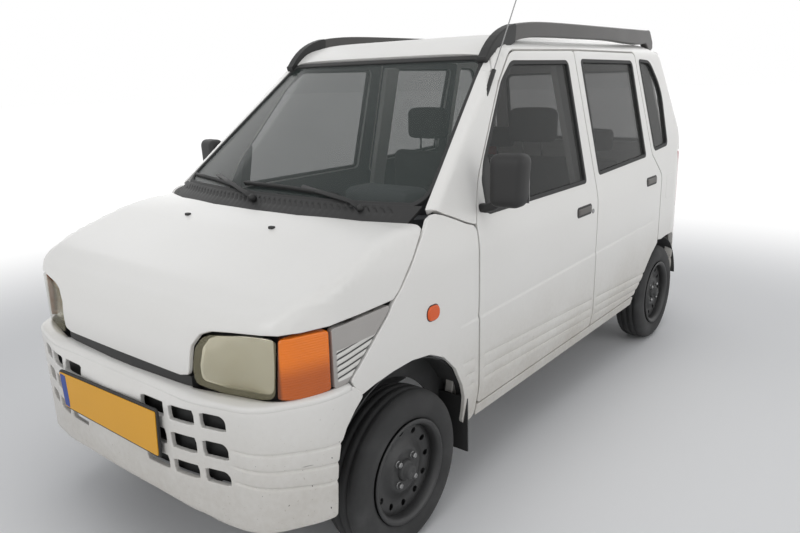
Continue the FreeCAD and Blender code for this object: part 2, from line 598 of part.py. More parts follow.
floor = INSIDE.common(box(-900, 900, BULKHEAD_Y, RISER_Y, FLOOR_Z, FLOOR_Z + FLOOR_WALL))
toe = FENDER_INSIDE.common(box(-900, 900, BULKHEAD_Y - 12, BULKHEAD_Y, FLOOR_Z, SHELF_Z))
toe = toe.cut(fused(pair(POST_BLOCK)))
shelf = FENDER_INSIDE.common(box(-900, 900, UPPER_BULKHEAD_Y, BULKHEAD_Y, SHELF_Z, SHELF_Z + 10))
shelf = shelf.cut(fused(pair(POST_BLOCK.common(box(430, 900, -712, -590, 0, 2000)))))
wall = FENDER_INSIDE.common(box(-900, 900, UPPER_BULKHEAD_Y - 12, UPPER_BULKHEAD_Y, SHELF_Z, COWL_Z[0]))
cowl_box = FENDER_INSIDE.common(box(-900, 900, -985, UPPER_BULKHEAD_Y, COWL_Z[0], COWL_Z[1]))
cowl_box = cowl_box.cut(fused(pair(hinge_notch)))
riser = INSIDE.common(box(-900, 900, RISER_Y, RISER_Y + 12, FLOOR_Z, REAR_FLOOR_Z + 14))
rear_floor = INSIDE.common(box(-900, 900, RISER_Y, 1560, REAR_FLOOR_Z, REAR_FLOOR_Z + 14))
rear_panel = INSIDE.common(box(-900, 900, 1540, 1800, SILL_Z, REAR_FLOOR_Z + 14))
rear_panel = rear_panel.cut(box(-900, 900, 1300, 1556, SILL_Z - 10, REAR_FLOOR_Z))
AROUND_REAR = REAR_ARCH_RADIUS + 5
rear_hub = (REAR_AXLE_Y, TYRE_RADIUS)
rear_well = rod((HOUSING_X, *rear_hub), (700, *rear_hub), AROUND_REAR)
housing = rod((HOUSING_X - 6, *rear_hub), (628, *rear_hub), AROUND_REAR + 6)
housing = housing.common(box(0, 900, RISER_Y, 1540, FLOOR_Z, 900)).cut(rear_well).common(BODY[POST_DEPTH])
quarter_strip = tube((590, *rear_hub), (700, *rear_hub), AROUND_REAR + 6, AROUND_REAR)
quarter_strip = quarter_strip.common(INSIDE).common(box(0, 900, 1195, 1540, FLOOR_Z, 900))
floor_parts = [floor, toe, shelf, wall, cowl_box, riser, rear_floor, rear_panel]
underbody = fused(floor_parts + pair(fused([housing, quarter_strip])))
underbody = underbody.cut(fused(pair(rear_well))).cut(bonnet_gap)
underbody = underbody.cut(fused(pair(side_panel)))
legs = pair(box(*LEG_X, -1470, BULKHEAD_Y - 12, *LEG_Z))
legs += pair(box(LEG_X[1] - 10, LEG_X[1], -1240, UPPER_BULKHEAD_Y - 12, LEG_Z[1], 800))
STRUT_FOOT = Vector(BALL_X, FRONT_AXLE_Y, BALL_Z)
STRUT_HEAD = Vector(STRUT_TOP_X, FRONT_AXLE_Y, STRUT_TOP_Z)
STRUT_LINE = (STRUT_HEAD - STRUT_FOOT).normalize()
tower_zone = box(LEG_X[1] - 10, 900, -1110, -968, 800, 812)
tower = FENDER_INSIDE.fuse(nose(FRAME_WALL)).cut(fender).common(tower_zone)
tower_pin = Part.makeCylinder(9, 60, STRUT_HEAD - STRUT_LINE * 30, STRUT_LINE)
legs += pair(tower.fuse(tower_pin))
EYE_RADIUS = 13.0
EYE_Z = 265.0


def towing_eye(y, top_z):
    """Plate with a round eye, hanging below a chassis leg on the car's right."""
    plate = box(-357, -345, y - 30, y + 30, EYE_Z - 25, top_z)
    return plate.cut(rod((-400, y, EYE_Z), (-300, y, EYE_Z), EYE_RADIUS))


front_eye = towing_eye(-1438.0, LEG_Z[0])
rear_eye = towing_eye(1550.0, SILL_Z + 5)
subframe = box(-300, 300, -1075, -1003, 175, 225)
subframe_posts = pair(box(LEG_X[0], LEG_X[1], -1075, -1003, 175, LEG_Z[0]))
arm_pin = Part.makeCylinder(9, 60, STRUT_FOOT - STRUT_LINE * 20, STRUT_LINE)
arm = box(300, BALL_X + 24, FRONT_AXLE_Y - 22, FRONT_AXLE_Y + 22, BALL_Z - 22, BALL_Z - 4)
arm_root = box(300, LEG_X[1], FRONT_AXLE_Y - 22, FRONT_AXLE_Y + 22, BALL_Z - 22, 176)
save("underbody", fused([underbody, front_eye, rear_eye] + legs + subframe_posts))
save("subframe", subframe.fuse(box(299, LEG_X[0], -1075, -1003, 175, 225)).fuse(
    box(-LEG_X[0], -299, -1075, -1003, 175, 225)))
save("front_arms", *pair(fused([arm, arm_root.cut(box(0, 900, -1075, -1003, 175, 225)), arm_pin])))

# Steering knuckles with their struts, turning about the strut's line
strut_length = (STRUT_HEAD - STRUT_FOOT).Length
strut = Part.makeCylinder(STRUT_RADIUS, strut_length - 190, STRUT_FOOT + STRUT_LINE * 160, STRUT_LINE)
upright = box(522, 586, FRONT_AXLE_Y - 28, FRONT_AXLE_Y + 28, 176, 330)
ball_boss = Part.makeCylinder(20, 40, STRUT_FOOT + STRUT_LINE * 6, STRUT_LINE)
spindle = rod((580, FRONT_AXLE_Y, TYRE_RADIUS), (DISC_X + 12, FRONT_AXLE_Y, TYRE_RADIUS), SPINDLE_RADIUS)
knuckle = fused([strut, upright, ball_boss, spindle])
knuckle = knuckle.cut(Part.makeCylinder(9 + RUNNING_GAP, 70, STRUT_FOOT - STRUT_LINE * 10, STRUT_LINE))
knuckle = knuckle.cut(Part.makeCylinder(9 + RUNNING_GAP, 60, STRUT_HEAD - STRUT_LINE * 40, STRUT_LINE))
for side, turn in SIDES:
    save("knuckle_" + side, turn(knuckle))

beam = box(-470, 470, REAR_AXLE_Y - 30, REAR_AXLE_Y + 30, 240, 290)
trailing = box(420, 460, RISER_Y - 40, REAR_AXLE_Y, 245, 285)
trail_mount = box(420, 460, RISER_Y - 40, RISER_Y, 285, FLOOR_Z)
rear_spindle = rod((460, *rear_hub), (DISC_X + 12, *rear_hub), SPINDLE_RADIUS)
spring = rod((430, REAR_AXLE_Y, 280), (430, REAR_AXLE_Y, REAR_FLOOR_Z), 45)
save("rear_axle", fused([beam] + pair(fused([trailing, trail_mount, rear_spindle, spring]))))

# Wheel-arch liners and mud flaps
front_hub = (FRONT_AXLE_Y - 5, TYRE_RADIUS)
liner = tube((LEG_X[1], *front_hub), (660, *front_hub), FRONT_ARCH_RADIUS + 5, FRONT_ARCH_RADIUS)
liner = liner.common(box(0, 900, -1700, BULKHEAD_Y - 12, LEG_Z[1], 1000))
strut_hole = Part.makeCylinder(60, 500, STRUT_FOOT + STRUT_LINE * 350, STRUT_LINE)
liner = liner.cut(strut_hole).cut(bumper_form(0.0)).cut(fender)
save("arch_liners", *pair(liner))
flap = box(560, 685, -718, -712, 190, 400)
save("mud_flaps", *pair(flap))

# Grilles behind the bumper's slots and above it
low_zone = box(-520, 520, -1800, -1500, 425, 645)
grille_low = bumper_form(BUMPER_WALL).cut(bumper_form(BUMPER_WALL + 8)).common(low_zone)
high_zone = box(-340, 340, -1800, -1400, BUMPER_TOP_Z + 6, 714)
save("grille_panels", grille_low, nose(12).cut(nose(34)).common(high_zone))
front_frame = nose(LAMP_WALL).cut(nose(LAMP_WALL + 30)).common(box(-640, 640, -1700, -1400, 655, 800))
tie = [box(a, b, -1545, -1470, LEG_Z[0], 660) for a, b in ((-376, -326), (326, 376))]
save("front_frame", fused([front_frame] + tie))

# Cabin
TRIM = BODY[POST_DEPTH + POST_WALL]
seat_side = [(-150.0, 400.0, 30), (-160.0, 520.0, 50), (290.0, 500.0, 40), (395.0, 1130.0, 30),
             (480.0, 1150.0, 30), (450.0, 400.0, 30)]
head_side = [(395.0, 1165.0, 25), (415.0, 1340.0, 25), (490.0, 1345.0, 25), (480.0, 1165.0, 25)]
seats = []
for x in (-SEAT_X, SEAT_X):
    seat = prism("yz", seat_side, x - SEAT_HALF, x + SEAT_HALF)
    head = prism("yz", head_side, x - 125, x + 125)
    posts = [rod((x + dx, 440, 1100), (x + dx, 440, 1200), 7) for dx in (-50, 50)]
    base = [box(x + dx - 15, x + dx + 15, -120, 360, FLOOR_Z + FLOOR_WALL, 405) for dx in (-170, 170)]
    seats.append(fused([seat, head] + posts + base))
save("front_seats", *seats)

bench_side = [(640.0, 420.0, 20), (640.0, 540.0, 50), (1020.0, 520.0, 40), (1110.0, 1040.0, 25),
              (1185.0, 1050.0, 25), (1150.0, REAR_FLOOR_Z + 14, 20), (RISER_Y, REAR_FLOOR_Z + 14),
              (RISER_Y, 420.0)]
bench = prism("yz", bench_side, -478, 478)
bench_base = box(-478, 478, 700, RISER_Y, FLOOR_Z + FLOOR_WALL, 420)
rear_heads = []
for x in (-SEAT_X, SEAT_X):
    rear_head = prism("yz", [(1125.0, 1060.0, 20), (1135.0, 1190.0, 20), (1195.0, 1190.0, 20),
                             (1190.0, 1060.0, 20)], x - 115, x + 115)
    rear_heads += [rear_head, rod((x, 1160, 1030), (x, 1160, 1100), 10)]
save("rear_bench", fused([bench, bench_base] + rear_heads))

dash_side = [(UPPER_BULKHEAD_Y, 690.0), (UPPER_BULKHEAD_Y, 1070.0, 20), (-600.0, 1012.0, 60),
             (-480.0, 950.0, 60), (-470.0, 880.0, 40), (-540.0, 700.0, 30)]
dash = prism("yz", dash_side, -700, 700).common(cabin(POST_DEPTH + POST_WALL + 3))
hood = box(130, 440, -720, -560, 960, 1112)
hood = hood.makeFillet(35, [edge for edge in hood.Edges])
console = box(-95, 95, -650, -470, FLOOR_Z + FLOOR_WALL, 720)
WHEEL_CENTRE = Vector(330, -340, 925)
COLUMN = Vector(0, -0.82, -0.57).normalize()
column = Part.makeCylinder(26, 260, WHEEL_CENTRE + COLUMN * 45, COLUMN)
shaft = Part.makeCylinder(9, 60, WHEEL_CENTRE + COLUMN * 2, COLUMN)
save("dashboard", fused([dash, hood, console, column, shaft]))

steer_ring = Part.makeTorus(178, 14, WHEEL_CENTRE, COLUMN)
steer_hub = Part.makeCylinder(52, 34, WHEEL_CENTRE - COLUMN * 4, COLUMN)
spokes = []
across = Vector(1, 0, 0)
down = COLUMN.cross(across).normalize()
for direction in (across, across * -1, down if down.z < 0 else down * -1):
    spokes.append(Part.makeCylinder(9, 178, WHEEL_CENTRE + COLUMN * 8, direction))
steering = fused([steer_ring, steer_hub] + spokes)
steering = steering.cut(Part.makeCylinder(9 + RUNNING_GAP, 70, WHEEL_CENTRE, COLUMN))
save("steering_wheel", steering)

# Engine, exhaust and tank
engine = box(-210, 250, -1400, -1000, 330, 790)
engine = engine.makeFillet(25, engine.Edges)
mounts = [box(240, LEG_X[0], -1230, -1170, 395, 435), box(-LEG_X[0], -200, -1230, -1170, 395, 435)]
save("engine", fused([engine] + mounts))

pipe_z = 262.0
pipe = rod((-150, -1080, pipe_z), (-150, 1050, pipe_z), 20)
riser_pipe = rod((-150, -1080, pipe_z), (-150, -1080, 345), 20)
rear_pipe = rod((-150, 1050, pipe_z), (-250, 1330, 360), 20)
silencer = rod((-330, 1410, 380), (80, 1410, 380), 62)
TAIL_PIPE_Z = 240.0
TAIL_PIPE_RADIUS = 17.0
TAIL_TIP_LENGTH = 70.0
tail_end = (-300, 1648 - TAIL_TIP_LENGTH, TAIL_PIPE_Z)
tail_drop = rod((-300, 1410, 340), (-300, 1500, TAIL_PIPE_Z), TAIL_PIPE_RADIUS - 2)
tail_elbow = Part.makeSphere(TAIL_PIPE_RADIUS - 2, Vector(-300, 1500, TAIL_PIPE_Z))
tail_pipe = fused([rod((-300, 1500, TAIL_PIPE_Z), tail_end, TAIL_PIPE_RADIUS - 2),
                   rod(tail_end, (-300, 1648, TAIL_PIPE_Z), TAIL_PIPE_RADIUS)])
rear_joint = rod((-250, 1330, 360), (-250, 1400, 380), 20)
hangers = [box(-158, -142, y, y + 16, pipe_z, FLOOR_Z) for y in (-400, 300)]
hangers.append(box(-158, -142, 1400, 1416, 430, REAR_FLOOR_Z))
pipes = [pipe, riser_pipe, rear_pipe, rear_joint, tail_drop, tail_elbow, tail_pipe]
exhaust = fused(pipes + [silencer] + hangers)
save("exhaust", exhaust.cut(engine).cut(beam).cut(box(-300, 300, -1076, -1002, 174, 226)))
tank = box(10, 400, 470, 830, 215, FLOOR_Z)
save("fuel_tank", tank.makeFillet(18, tank.Edges[:4]))

# Roof rails, aerial, wipers, plates
RAIL = [
    (-352.0, 1500.0), (-352.0, 1572.0), (-250.0, 1632.0, 120), (-120.0, 1676.0, 150), (250.0, 1694.0, 800),
    (1250.0, 1694.0, 60), (1330.0, 1690.0, 30), (1400.0, 1600.0), (1400.0, 1500.0)]
rail = prism("yz", RAIL, 488, 526).cut(BODY[0.0])
save("roof_rails", *pair(rail))

aerial_foot = Vector(577, -400, 1455)
aerial_line = Vector(-13, 188, 263).normalize()
holder = Part.makeCylinder(9, 120, aerial_foot - aerial_line * 50, aerial_line)
aerial = Part.makeCylinder(2.5, 620, aerial_foot, aerial_line)
save("aerial", fused([holder, aerial]).cut(BODY[0.0]))

save("front_plate", box(-268, 268, -1662, FRONT_Y + 6, 480, 606).cut(bumper_form(0.0)))
save("rear_plate", box(-262, 262, 1640, 1656, 560, 676).cut(BODY[0.0]))

# Cowl panel under the windscreen, with the two parked wipers
cowl_panel = SKIN_LOW.common(cowl_zone).cut(bonnet_gap).cut(fused(pair(hinge_notch)))
cowl_panel = fused([cowl_panel] + pair(bonnet_pin))
wiper_parts = []
WIPERS = (((400.0, -935.0), (-150.0, -940.0, 1150.0)), ((-60.0, -988.0), (-500.0, -890.0, 1156.0)))
for pivot, tip in WIPERS:
    foot = Vector(*pivot, 1060)
    wiper_parts.append(rod(foot, foot + Vector(0, -4, 46), 9))
    wiper_parts.append(rod(foot + Vector(0, -4, 42), tip, 6))
save("cowl_and_wipers", fused([cowl_panel] + wiper_parts))
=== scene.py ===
# %% [markdown]
# # A small upright car, dressed for its photograph
# The CAD model already holds every panel, hinge and wheel in its place, but its panels meet in hard edges.
# This lesson keeps that frame and lays the real car's skin over it.
# It adds rolled panel edges, soft shoulders, lamps, seats and dirt.
# Everything is measured in millimetres until a mesh is made, because that is how a car body is drawn.

import math

import bpy
import numpy as np
from mathutils import Matrix, Vector, geometry


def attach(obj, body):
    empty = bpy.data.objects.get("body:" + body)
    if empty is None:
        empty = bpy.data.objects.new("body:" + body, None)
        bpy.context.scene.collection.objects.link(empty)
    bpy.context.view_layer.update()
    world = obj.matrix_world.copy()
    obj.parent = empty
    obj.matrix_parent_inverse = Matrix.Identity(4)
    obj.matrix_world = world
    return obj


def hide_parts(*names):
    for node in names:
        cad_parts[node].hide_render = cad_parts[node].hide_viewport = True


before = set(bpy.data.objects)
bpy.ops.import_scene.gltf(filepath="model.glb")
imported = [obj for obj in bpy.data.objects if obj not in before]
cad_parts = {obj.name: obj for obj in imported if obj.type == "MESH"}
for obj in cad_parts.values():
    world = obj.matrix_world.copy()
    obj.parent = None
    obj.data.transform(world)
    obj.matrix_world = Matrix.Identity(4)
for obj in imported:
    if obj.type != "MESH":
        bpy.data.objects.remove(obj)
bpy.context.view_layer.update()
SIDES = (("left", 1.0), ("right", -1.0))

# %% [markdown]
# ## The camera
# The photograph was taken at eye height from the car's front left, close enough for strong perspective.
# A camera is a place, a direction and a lens, so its matrix is built from three angles, with no shift.

# %% Camera
AZIMUTH, ELEVATION, ROLL = math.radians(38.87), math.radians(15.21), math.radians(-1.84)
back = Vector((math.sin(AZIMUTH) * math.cos(ELEVATION), -math.cos(AZIMUTH) * math.cos(ELEVATION),
               math.sin(ELEVATION)))
level_right = Vector((math.cos(AZIMUTH), math.sin(AZIMUTH), 0))
level_up = back.cross(level_right)
right = level_right * math.cos(ROLL) + level_up * math.sin(ROLL)
up = back.cross(right)
camera_data = bpy.data.cameras.new("camera")
camera_data.lens, camera_data.sensor_width = 31.25, 36.0
camera = bpy.data.objects.new("camera", camera_data)
turn = Matrix((right, up, back)).transposed().to_4x4()
camera.matrix_world = Matrix.Translation((1.913, -2.593, 1.493)) @ turn
bpy.context.scene.collection.objects.link(camera)
bpy.context.scene.camera = camera

# %% [markdown]
# ## Light, floor and background
# Five large soft lamps stand in for a studio's overhead panel and the panels round the car.
# The floor fades into a white surround. The world shows plain white to the camera and in reflections,
# and lights the car more weakly than that.

# %% Light and world
def soft_lamp(name, place, aim, size, power):
    """A square area lamp at a place, turned towards a point.

    The overhead one stays out of the sloping glass."""
    data = bpy.data.lights.new(name, "AREA")
    data.size, data.energy = size, power
    lamp = bpy.data.objects.new(name, data)
    lamp.location = place
    lamp.rotation_mode = "QUATERNION"
    lamp.rotation_quaternion = (Vector(aim) - Vector(place)).to_track_quat("-Z", "Y")
    lamp.visible_camera = False
    lamp.visible_glossy = name != "overhead"
    bpy.context.scene.collection.objects.link(lamp)


soft_lamp("overhead", (0.5, -1.0, 5.0), (0, 0, 0.8), 4.5, 76)
soft_lamp("front_panel", (0.8, -5.2, 2.6), (0, -0.6, 0.8), 3.0, 45)
soft_lamp("side_panel", (5.0, 0.2, 2.2), (0, 0, 0.8), 3.5, 46)
soft_lamp("far_panel", (-5.0, 1.5, 2.5), (0, 0, 0.8), 3.5, 30)
soft_lamp("rear_panel", (0.0, 5.5, 2.5), (0, 0.6, 0.8), 3.0, 36)
scene = bpy.context.scene
scene.view_settings.view_transform = "Standard"
world = bpy.data.worlds.new("surround")
scene.world = world
world.use_nodes = True
tree = world.node_tree
sky, path = tree.nodes["Background"], tree.nodes.new("ShaderNodeLightPath")
seen = tree.nodes.new("ShaderNodeBackground")
mix = tree.nodes.new("ShaderNodeMixShader")
both, all_three = tree.nodes.new("ShaderNodeMath"), tree.nodes.new("ShaderNodeMath")
both.operation = all_three.operation = "MAXIMUM"
tree.links.new(path.outputs["Is Camera Ray"], both.inputs[0])
tree.links.new(path.outputs["Is Glossy Ray"], both.inputs[1])
tree.links.new(both.outputs[0], all_three.inputs[0])
tree.links.new(path.outputs["Is Transmission Ray"], all_three.inputs[1])
sky.inputs["Color"].default_value, sky.inputs["Strength"].default_value = (0.92, 0.95, 1.0, 1), 0.36
seen.inputs["Color"].default_value, seen.inputs["Strength"].default_value = (1, 1, 1, 1), 1.0
tree.links.new(all_three.outputs[0], mix.inputs[0])
tree.links.new(sky.outputs[0], mix.inputs[1])
tree.links.new(seen.outputs[0], mix.inputs[2])
tree.links.new(mix.outputs[0], tree.nodes["World Output"].inputs[0])

# %% [markdown]
# ## Shader arithmetic
# A finish is mostly arithmetic on patterns: dust grows towards the ground, and scratches sit on a corner.
# A small class wraps a node's output, so a mask is written like a sum and each operator adds its Math node.

# %% Finishes
class Value:
    """A number that varies over a surface."""

    def __init__(self, finish, socket):
        self.finish, self.socket = finish, socket

    def math(self, operation, *others):
        return self.finish.node("ShaderNodeMath", {"operation": operation},
                                {i: v for i, v in enumerate((self,) + others)})

    def __add__(self, other):
        return self.math("ADD", other)

    def __mul__(self, other):
        return self.math("MULTIPLY", other)

    def __sub__(self, other):
        return self.math("SUBTRACT", other)

    def __rsub__(self, other):
        return (self * -1) + other

    __radd__, __rmul__ = __add__, __mul__

    def step(self, low, high):
        """0 below low, 1 above high, and smooth between them."""
        return self.finish.node("ShaderNodeMapRange", {"interpolation_type": "SMOOTHSTEP"},
                                {"Value": self, "From Min": low, "From Max": high})

    def most(self, other):
        return self.math("MAXIMUM", other)

    def least(self, other):
        return self.math("MINIMUM", other)


class Finish:
    """One material: its Principled shader, and the nodes that feed it."""

    def __init__(self, name, **constants):
        self.material = bpy.data.materials.new(name)
        self.material.use_nodes = True
        self.tree = self.material.node_tree
        self.shader = self.tree.nodes["Principled BSDF"]
        for key, value in constants.items():
            self.shader.inputs[key.replace("_", " ")].default_value = value

    def plug(self, socket, value):
        if isinstance(value, Value):
            self.tree.links.new(value.socket, socket)
        else:
            socket.default_value = value

    def node(self, kind, settings=None, inputs=None, output=0):
        """Any node: its settings first, then the values or links of its sockets."""
        made = self.tree.nodes.new(kind)
        for key, value in (settings or {}).items():
            setattr(made, key, value)
        for key, value in (inputs or {}).items():
            self.plug(made.inputs[key], value)
        return Value(self, made.outputs[output])

    def coords(self):
        return self.node("ShaderNodeTexCoord", output="Object")

    def axes(self):
        """The x, y and z of the point, in metres."""
        split = self.node("ShaderNodeSeparateXYZ", inputs={0: self.coords()})
        return [Value(self, split.socket.node.outputs[i]) for i in range(3)]

    def noise(self, scale, detail=2.0, vector=None):
        """Soft clouds; the scale is how many there are in a metre."""
        where = vector or self.coords()
        return self.node("ShaderNodeTexNoise", inputs={"Vector": where, "Scale": scale, "Detail": detail})

    def mix(self, mask, low, high):
        """A colour between two colours."""
        return self.node("ShaderNodeMix", {"data_type": "RGBA"}, {0: mask, 6: low, 7: high}, output=2)

    def set(self, **links):
        for key, value in links.items():
            self.plug(self.shader.inputs[key.replace("_", " ")], value)
        return self

    def bump(self, height, distance=0.001, strength=1.0):
        """Surface relief, height times distance in metres."""
        self.plug(self.shader.inputs["Normal"],
                  self.node("ShaderNodeBump", inputs={"Height": height, "Distance": distance,
                                                      "Strength": strength}))
        return self


def grey(value, warm=1.0):
    return (value * warm, value, value / warm, 1.0)


finish = {}


def body_paint(name, scuffs=False):
    """White enamel under a thin film of road dirt, which thickens towards the sill."""
    f = Finish(name, Coat_Weight=0.4, Coat_Roughness=0.24)
    x, y, z = f.axes()
    cloud = f.noise(3.0, 4.0)
    fine = f.noise(60.0, 3.0)
    speck = f.noise(160.0, 1.0)
    low = 1 - z.step(0.28, 0.78)
    film = (low * 0.75 + 0.10) * (cloud * 0.9 + fine * 0.35)
    spots = speck.step(0.70, 0.80) * (low * 0.5)
    dirt = (film + spots).least(1.0)
    colour = f.mix(dirt, (0.77, 0.76, 0.735, 1), (0.40, 0.36, 0.30, 1))
    if scuffs:
        drag = f.node("ShaderNodeMapping", inputs={"Vector": f.coords(), "Scale": (14.0, 14.0, 120.0)})
        streak = f.noise(1.0, 3.0, vector=drag)
        corner = (x.step(0.52, 0.60) * (1 - z.step(0.60, 0.645))) * z.step(0.30, 0.34)
        scrape = (streak.step(0.70, 0.76) * corner) * f.noise(9.0).step(0.50, 0.62)
        chip = f.noise(75.0, 2.0).step(0.735, 0.75) * corner
        colour = f.mix((scrape * 0.55).most(chip), colour, (0.07, 0.065, 0.06, 1))
    f.set(Base_Color=colour, Roughness=film * 0.35 + 0.38)
    return f.bump(f.noise(6.0, 1.0), 0.0006, 0.10)


finish["paint"] = body_paint("white_enamel")
finish["bumper"] = body_paint("scuffed_bumper", scuffs=True)

# %% Floor
ground = Finish("pale_floor", Roughness=0.9, Emission_Strength=1.0)
across_floor, along_floor, _ = ground.axes()
far_off = ((across_floor * across_floor) + (along_floor * along_floor)).math("SQRT").step(2.4, 5.5)
BLACK, WHITE = (0, 0, 0, 1), (1, 1, 1, 1)
ground.set(Base_Color=ground.mix(far_off, (0.80, 0.80, 0.80, 1), BLACK),
           Emission_Color=ground.mix(far_off, BLACK, WHITE))
floor_mesh = bpy.data.meshes.new("floor")
floor_mesh.from_pydata([(-60, -60, 0), (60, -60, 0), (60, 60, 0), (-60, 60, 0)], [], [(0, 1, 2, 3)])
floor_mesh.materials.append(ground.material)
floor = bpy.data.objects.new("floor", floor_mesh)
bpy.context.scene.collection.objects.link(floor)

# %% [markdown]
# ## Curved panels
# A pressed panel is one smooth surface cut along its shut lines, with its edges rolled inwards.
# The body is the part that a side, a front and a plan outline have in common, with its corners rounded.
# A ray from inside finds its skin. A panel is drawn flat and filled with triangles, and each of its points
# is carried out to the skin along such a ray.

# %% Outlines
def rounded(points, closed=True):
    """Corners (a, b) or (a, b, radius) as a fine line.

    Each corner becomes an arc that touches both of its edges."""
    line = []
    for index, point in enumerate(points):
        here, radius = np.array(point[:2], float), point[2] if len(point) > 2 else 0
        if radius == 0 or not closed and index in (0, len(points) - 1):
            line.append(here[None])
            continue
        before = np.array(points[index - 1][:2], float) - here
        after = np.array(points[(index + 1) % len(points)][:2], float) - here
        before, after = before / np.linalg.norm(before), after / np.linalg.norm(after)
        angle = math.acos(max(-1.0, min(1.0, before @ after)))
        centre = here + (before + after) / np.linalg.norm(before + after) * radius / math.sin(angle / 2)
        start = here + before * radius / math.tan(angle / 2) - centre
        end = here + after * radius / math.tan(angle / 2) - centre
        first = math.atan2(start[1], start[0])
        turn = (math.atan2(end[1], end[0]) - first + math.pi) % (2 * math.pi) - math.pi
        turns = first + turn * np.linspace(0, 1, max(4, int(abs(turn) / 0.05)) + 1)
        line.append(centre + radius * np.stack([np.cos(turns), np.sin(turns)], 1))
    return np.concatenate(line)


def filled(line, step, closed=True):
    """The line with points added so that none of its edges is longer than step."""
    ends = np.roll(line, -1, 0) if closed else line[1:]
    starts = line if closed else line[:-1]
    parts = []
    for a, b in zip(starts, ends):
        length = np.linalg.norm(b - a)
        if length > 0.3:
            count = math.ceil(length / step)
            parts.append(a + (b - a) * (np.arange(count) / count)[:, None])
    return np.concatenate(parts + ([] if closed else [line[-1:]]))


def both_halves(half):
    """An outline that is symmetric about zero, from its positive half, whose last point lies on zero."""
    return list(half) + [(-p[0],) + tuple(p[1:]) for p in reversed(half[:-1])]


def inside(points, loops):
    """Which points have an odd number of loop edges to their right."""
    hits = np.zeros(len(points), int)
    for loop in loops:
        a, b = loop, np.roll(loop, -1, 0)
        spans = (a[:, 1] > points[:, 1:2]) != (b[:, 1] > points[:, 1:2])
        rise = np.where(a[:, 1] == b[:, 1], 1e-9, b[:, 1] - a[:, 1])
        cross = a[:, 0] + (points[:, 1:2] - a[:, 1]) * (b[:, 0] - a[:, 0]) / rise
        hits += (spans & (points[:, 0:1] < cross)).sum(1)
    return hits % 2 == 1


# %% Forms
FARTHEST, HALVINGS = 1500.0, 22
SLOPE_REACH, RELIEF_REACH = 7.0, 0.6


class Form:
    """A convex body: what several outlines have in common, with the edges between them rounded."""

    def __init__(self, outlines, rounding, sheet=None):
        self.walls, self.rounding, self.sheet = [], rounding, sheet
        for axes, points in outlines:
            line = rounded(points)
            edge = np.roll(line, -1, 0) - line
            keep = np.linalg.norm(edge, axis=1) > 1e-6
            line, edge = line[keep], edge[keep]
            area = (line[:, 0] * np.roll(line[:, 1], -1) - np.roll(line[:, 0], -1) * line[:, 1]).sum()
            outward = np.stack([edge[:, 1], -edge[:, 0]], 1) * np.sign(area)
            outward /= np.linalg.norm(outward, axis=1)[:, None]
            self.walls.append((list(axes), outward, (outward * line).sum(1)))

    def outside(self, points):
        """Distance outside the form.

        Two walls meet in a fillet: the root of the sum of their squared overshoots."""
        total = None
        walls = [(points[:, axes] @ outward.T - reach).max(1) for axes, outward, reach in self.walls]
        for wall in walls + ([self.sheet(points)] if self.sheet else []):
            if total is None:
                total = wall
                continue
            a, b = np.maximum(total + self.rounding, 0), np.maximum(wall + self.rounding, 0)
            total = np.minimum(np.maximum(total, wall), -self.rounding) + np.hypot(a, b)
        return total

    def skin(self, origin, direction):
        """Where rays from inside leave the form: the span in which they do is halved again and again."""
        near, far = np.zeros(len(origin)), np.full(len(origin), FARTHEST)
        for _ in range(HALVINGS):
            middle = (near + far) / 2
            out = self.outside(origin + direction * middle[:, None]) > 0
            near, far = np.where(out, near, middle), np.where(out, middle, far)
        return origin + direction * far[:, None]


class Surface:
    """Carries flat points (u, v) out to a form, and may press lines into it."""

    def __init__(self, form, rays, relief=None):
        self.form, self.rays, self.relief = form, rays, relief

    def smooth_points(self, flat):
        return self.form.skin(*self.rays(flat[:, 0], flat[:, 1]))

    def points(self, flat):
        found = self.smooth_points(flat)
        if self.relief is None:
            return found
        return found + self.rays(flat[:, 0], flat[:, 1])[1] * self.relief(flat)[:, None]

    def frame(self, flat):
        """Points, unit normals and the smooth skin's own unit normals, to which the relief adds nothing."""
        outward = self.rays(flat[:, 0], flat[:, 1])[1]
        plain, pressed = [], []
        for axis in np.eye(2):
            ahead = self.smooth_points(flat + axis * SLOPE_REACH)
            slope = (ahead - self.smooth_points(flat - axis * SLOPE_REACH)) / (2 * SLOPE_REACH)
            plain.append(slope)
            if self.relief is not None:
                rise = self.relief(flat + axis * RELIEF_REACH) - self.relief(flat - axis * RELIEF_REACH)
                slope = slope + outward * (rise / (2 * RELIEF_REACH))[:, None]
            pressed.append(slope)
        normals = []
        for slopes in (pressed, plain):
            normal = np.cross(*slopes)
            normal /= np.linalg.norm(normal, axis=1)[:, None] + 1e-12
            normals.append(normal * np.sign((normal * outward).sum(1))[:, None])
        return self.points(flat), *normals


def from_side(u, v):
    """Flat (y, z) seen from the car's left."""
    zero = np.zeros_like(u)
    return np.stack([zero + 300, u, v], 1), np.stack([zero + 1, zero, zero], 1)


def round_corner(centre_x, centre_y, radius, end):
    """Flat (u, z) along the left side, where u is y.

    Beyond centre_y it turns a corner to the front (end -1) or the rear (end 1)."""

    def rays(u, v):
        past = end * (u - centre_y)
        turn = np.clip(past / radius, 0, math.pi / 2)
        across = np.maximum(past - radius * math.pi / 2, 0)
        origin = np.stack([centre_x - across, np.where(past < 0, u, centre_y), v], 1)
        return origin, np.stack([np.cos(turn), end * np.sin(turn), 0 * u], 1)

    def flat(points):
        x, y, z = np.array(points, float).T
        past = end * (y - centre_y)
        turned = np.arctan2(past, np.maximum(x - centre_x, 1e-9)) * radius
        beyond = np.where(x < centre_x, radius * math.pi / 2 + centre_x - x, turned)
        return np.stack([np.where(past < 0, y, centre_y + end * beyond), z], 1)

    return rays, flat


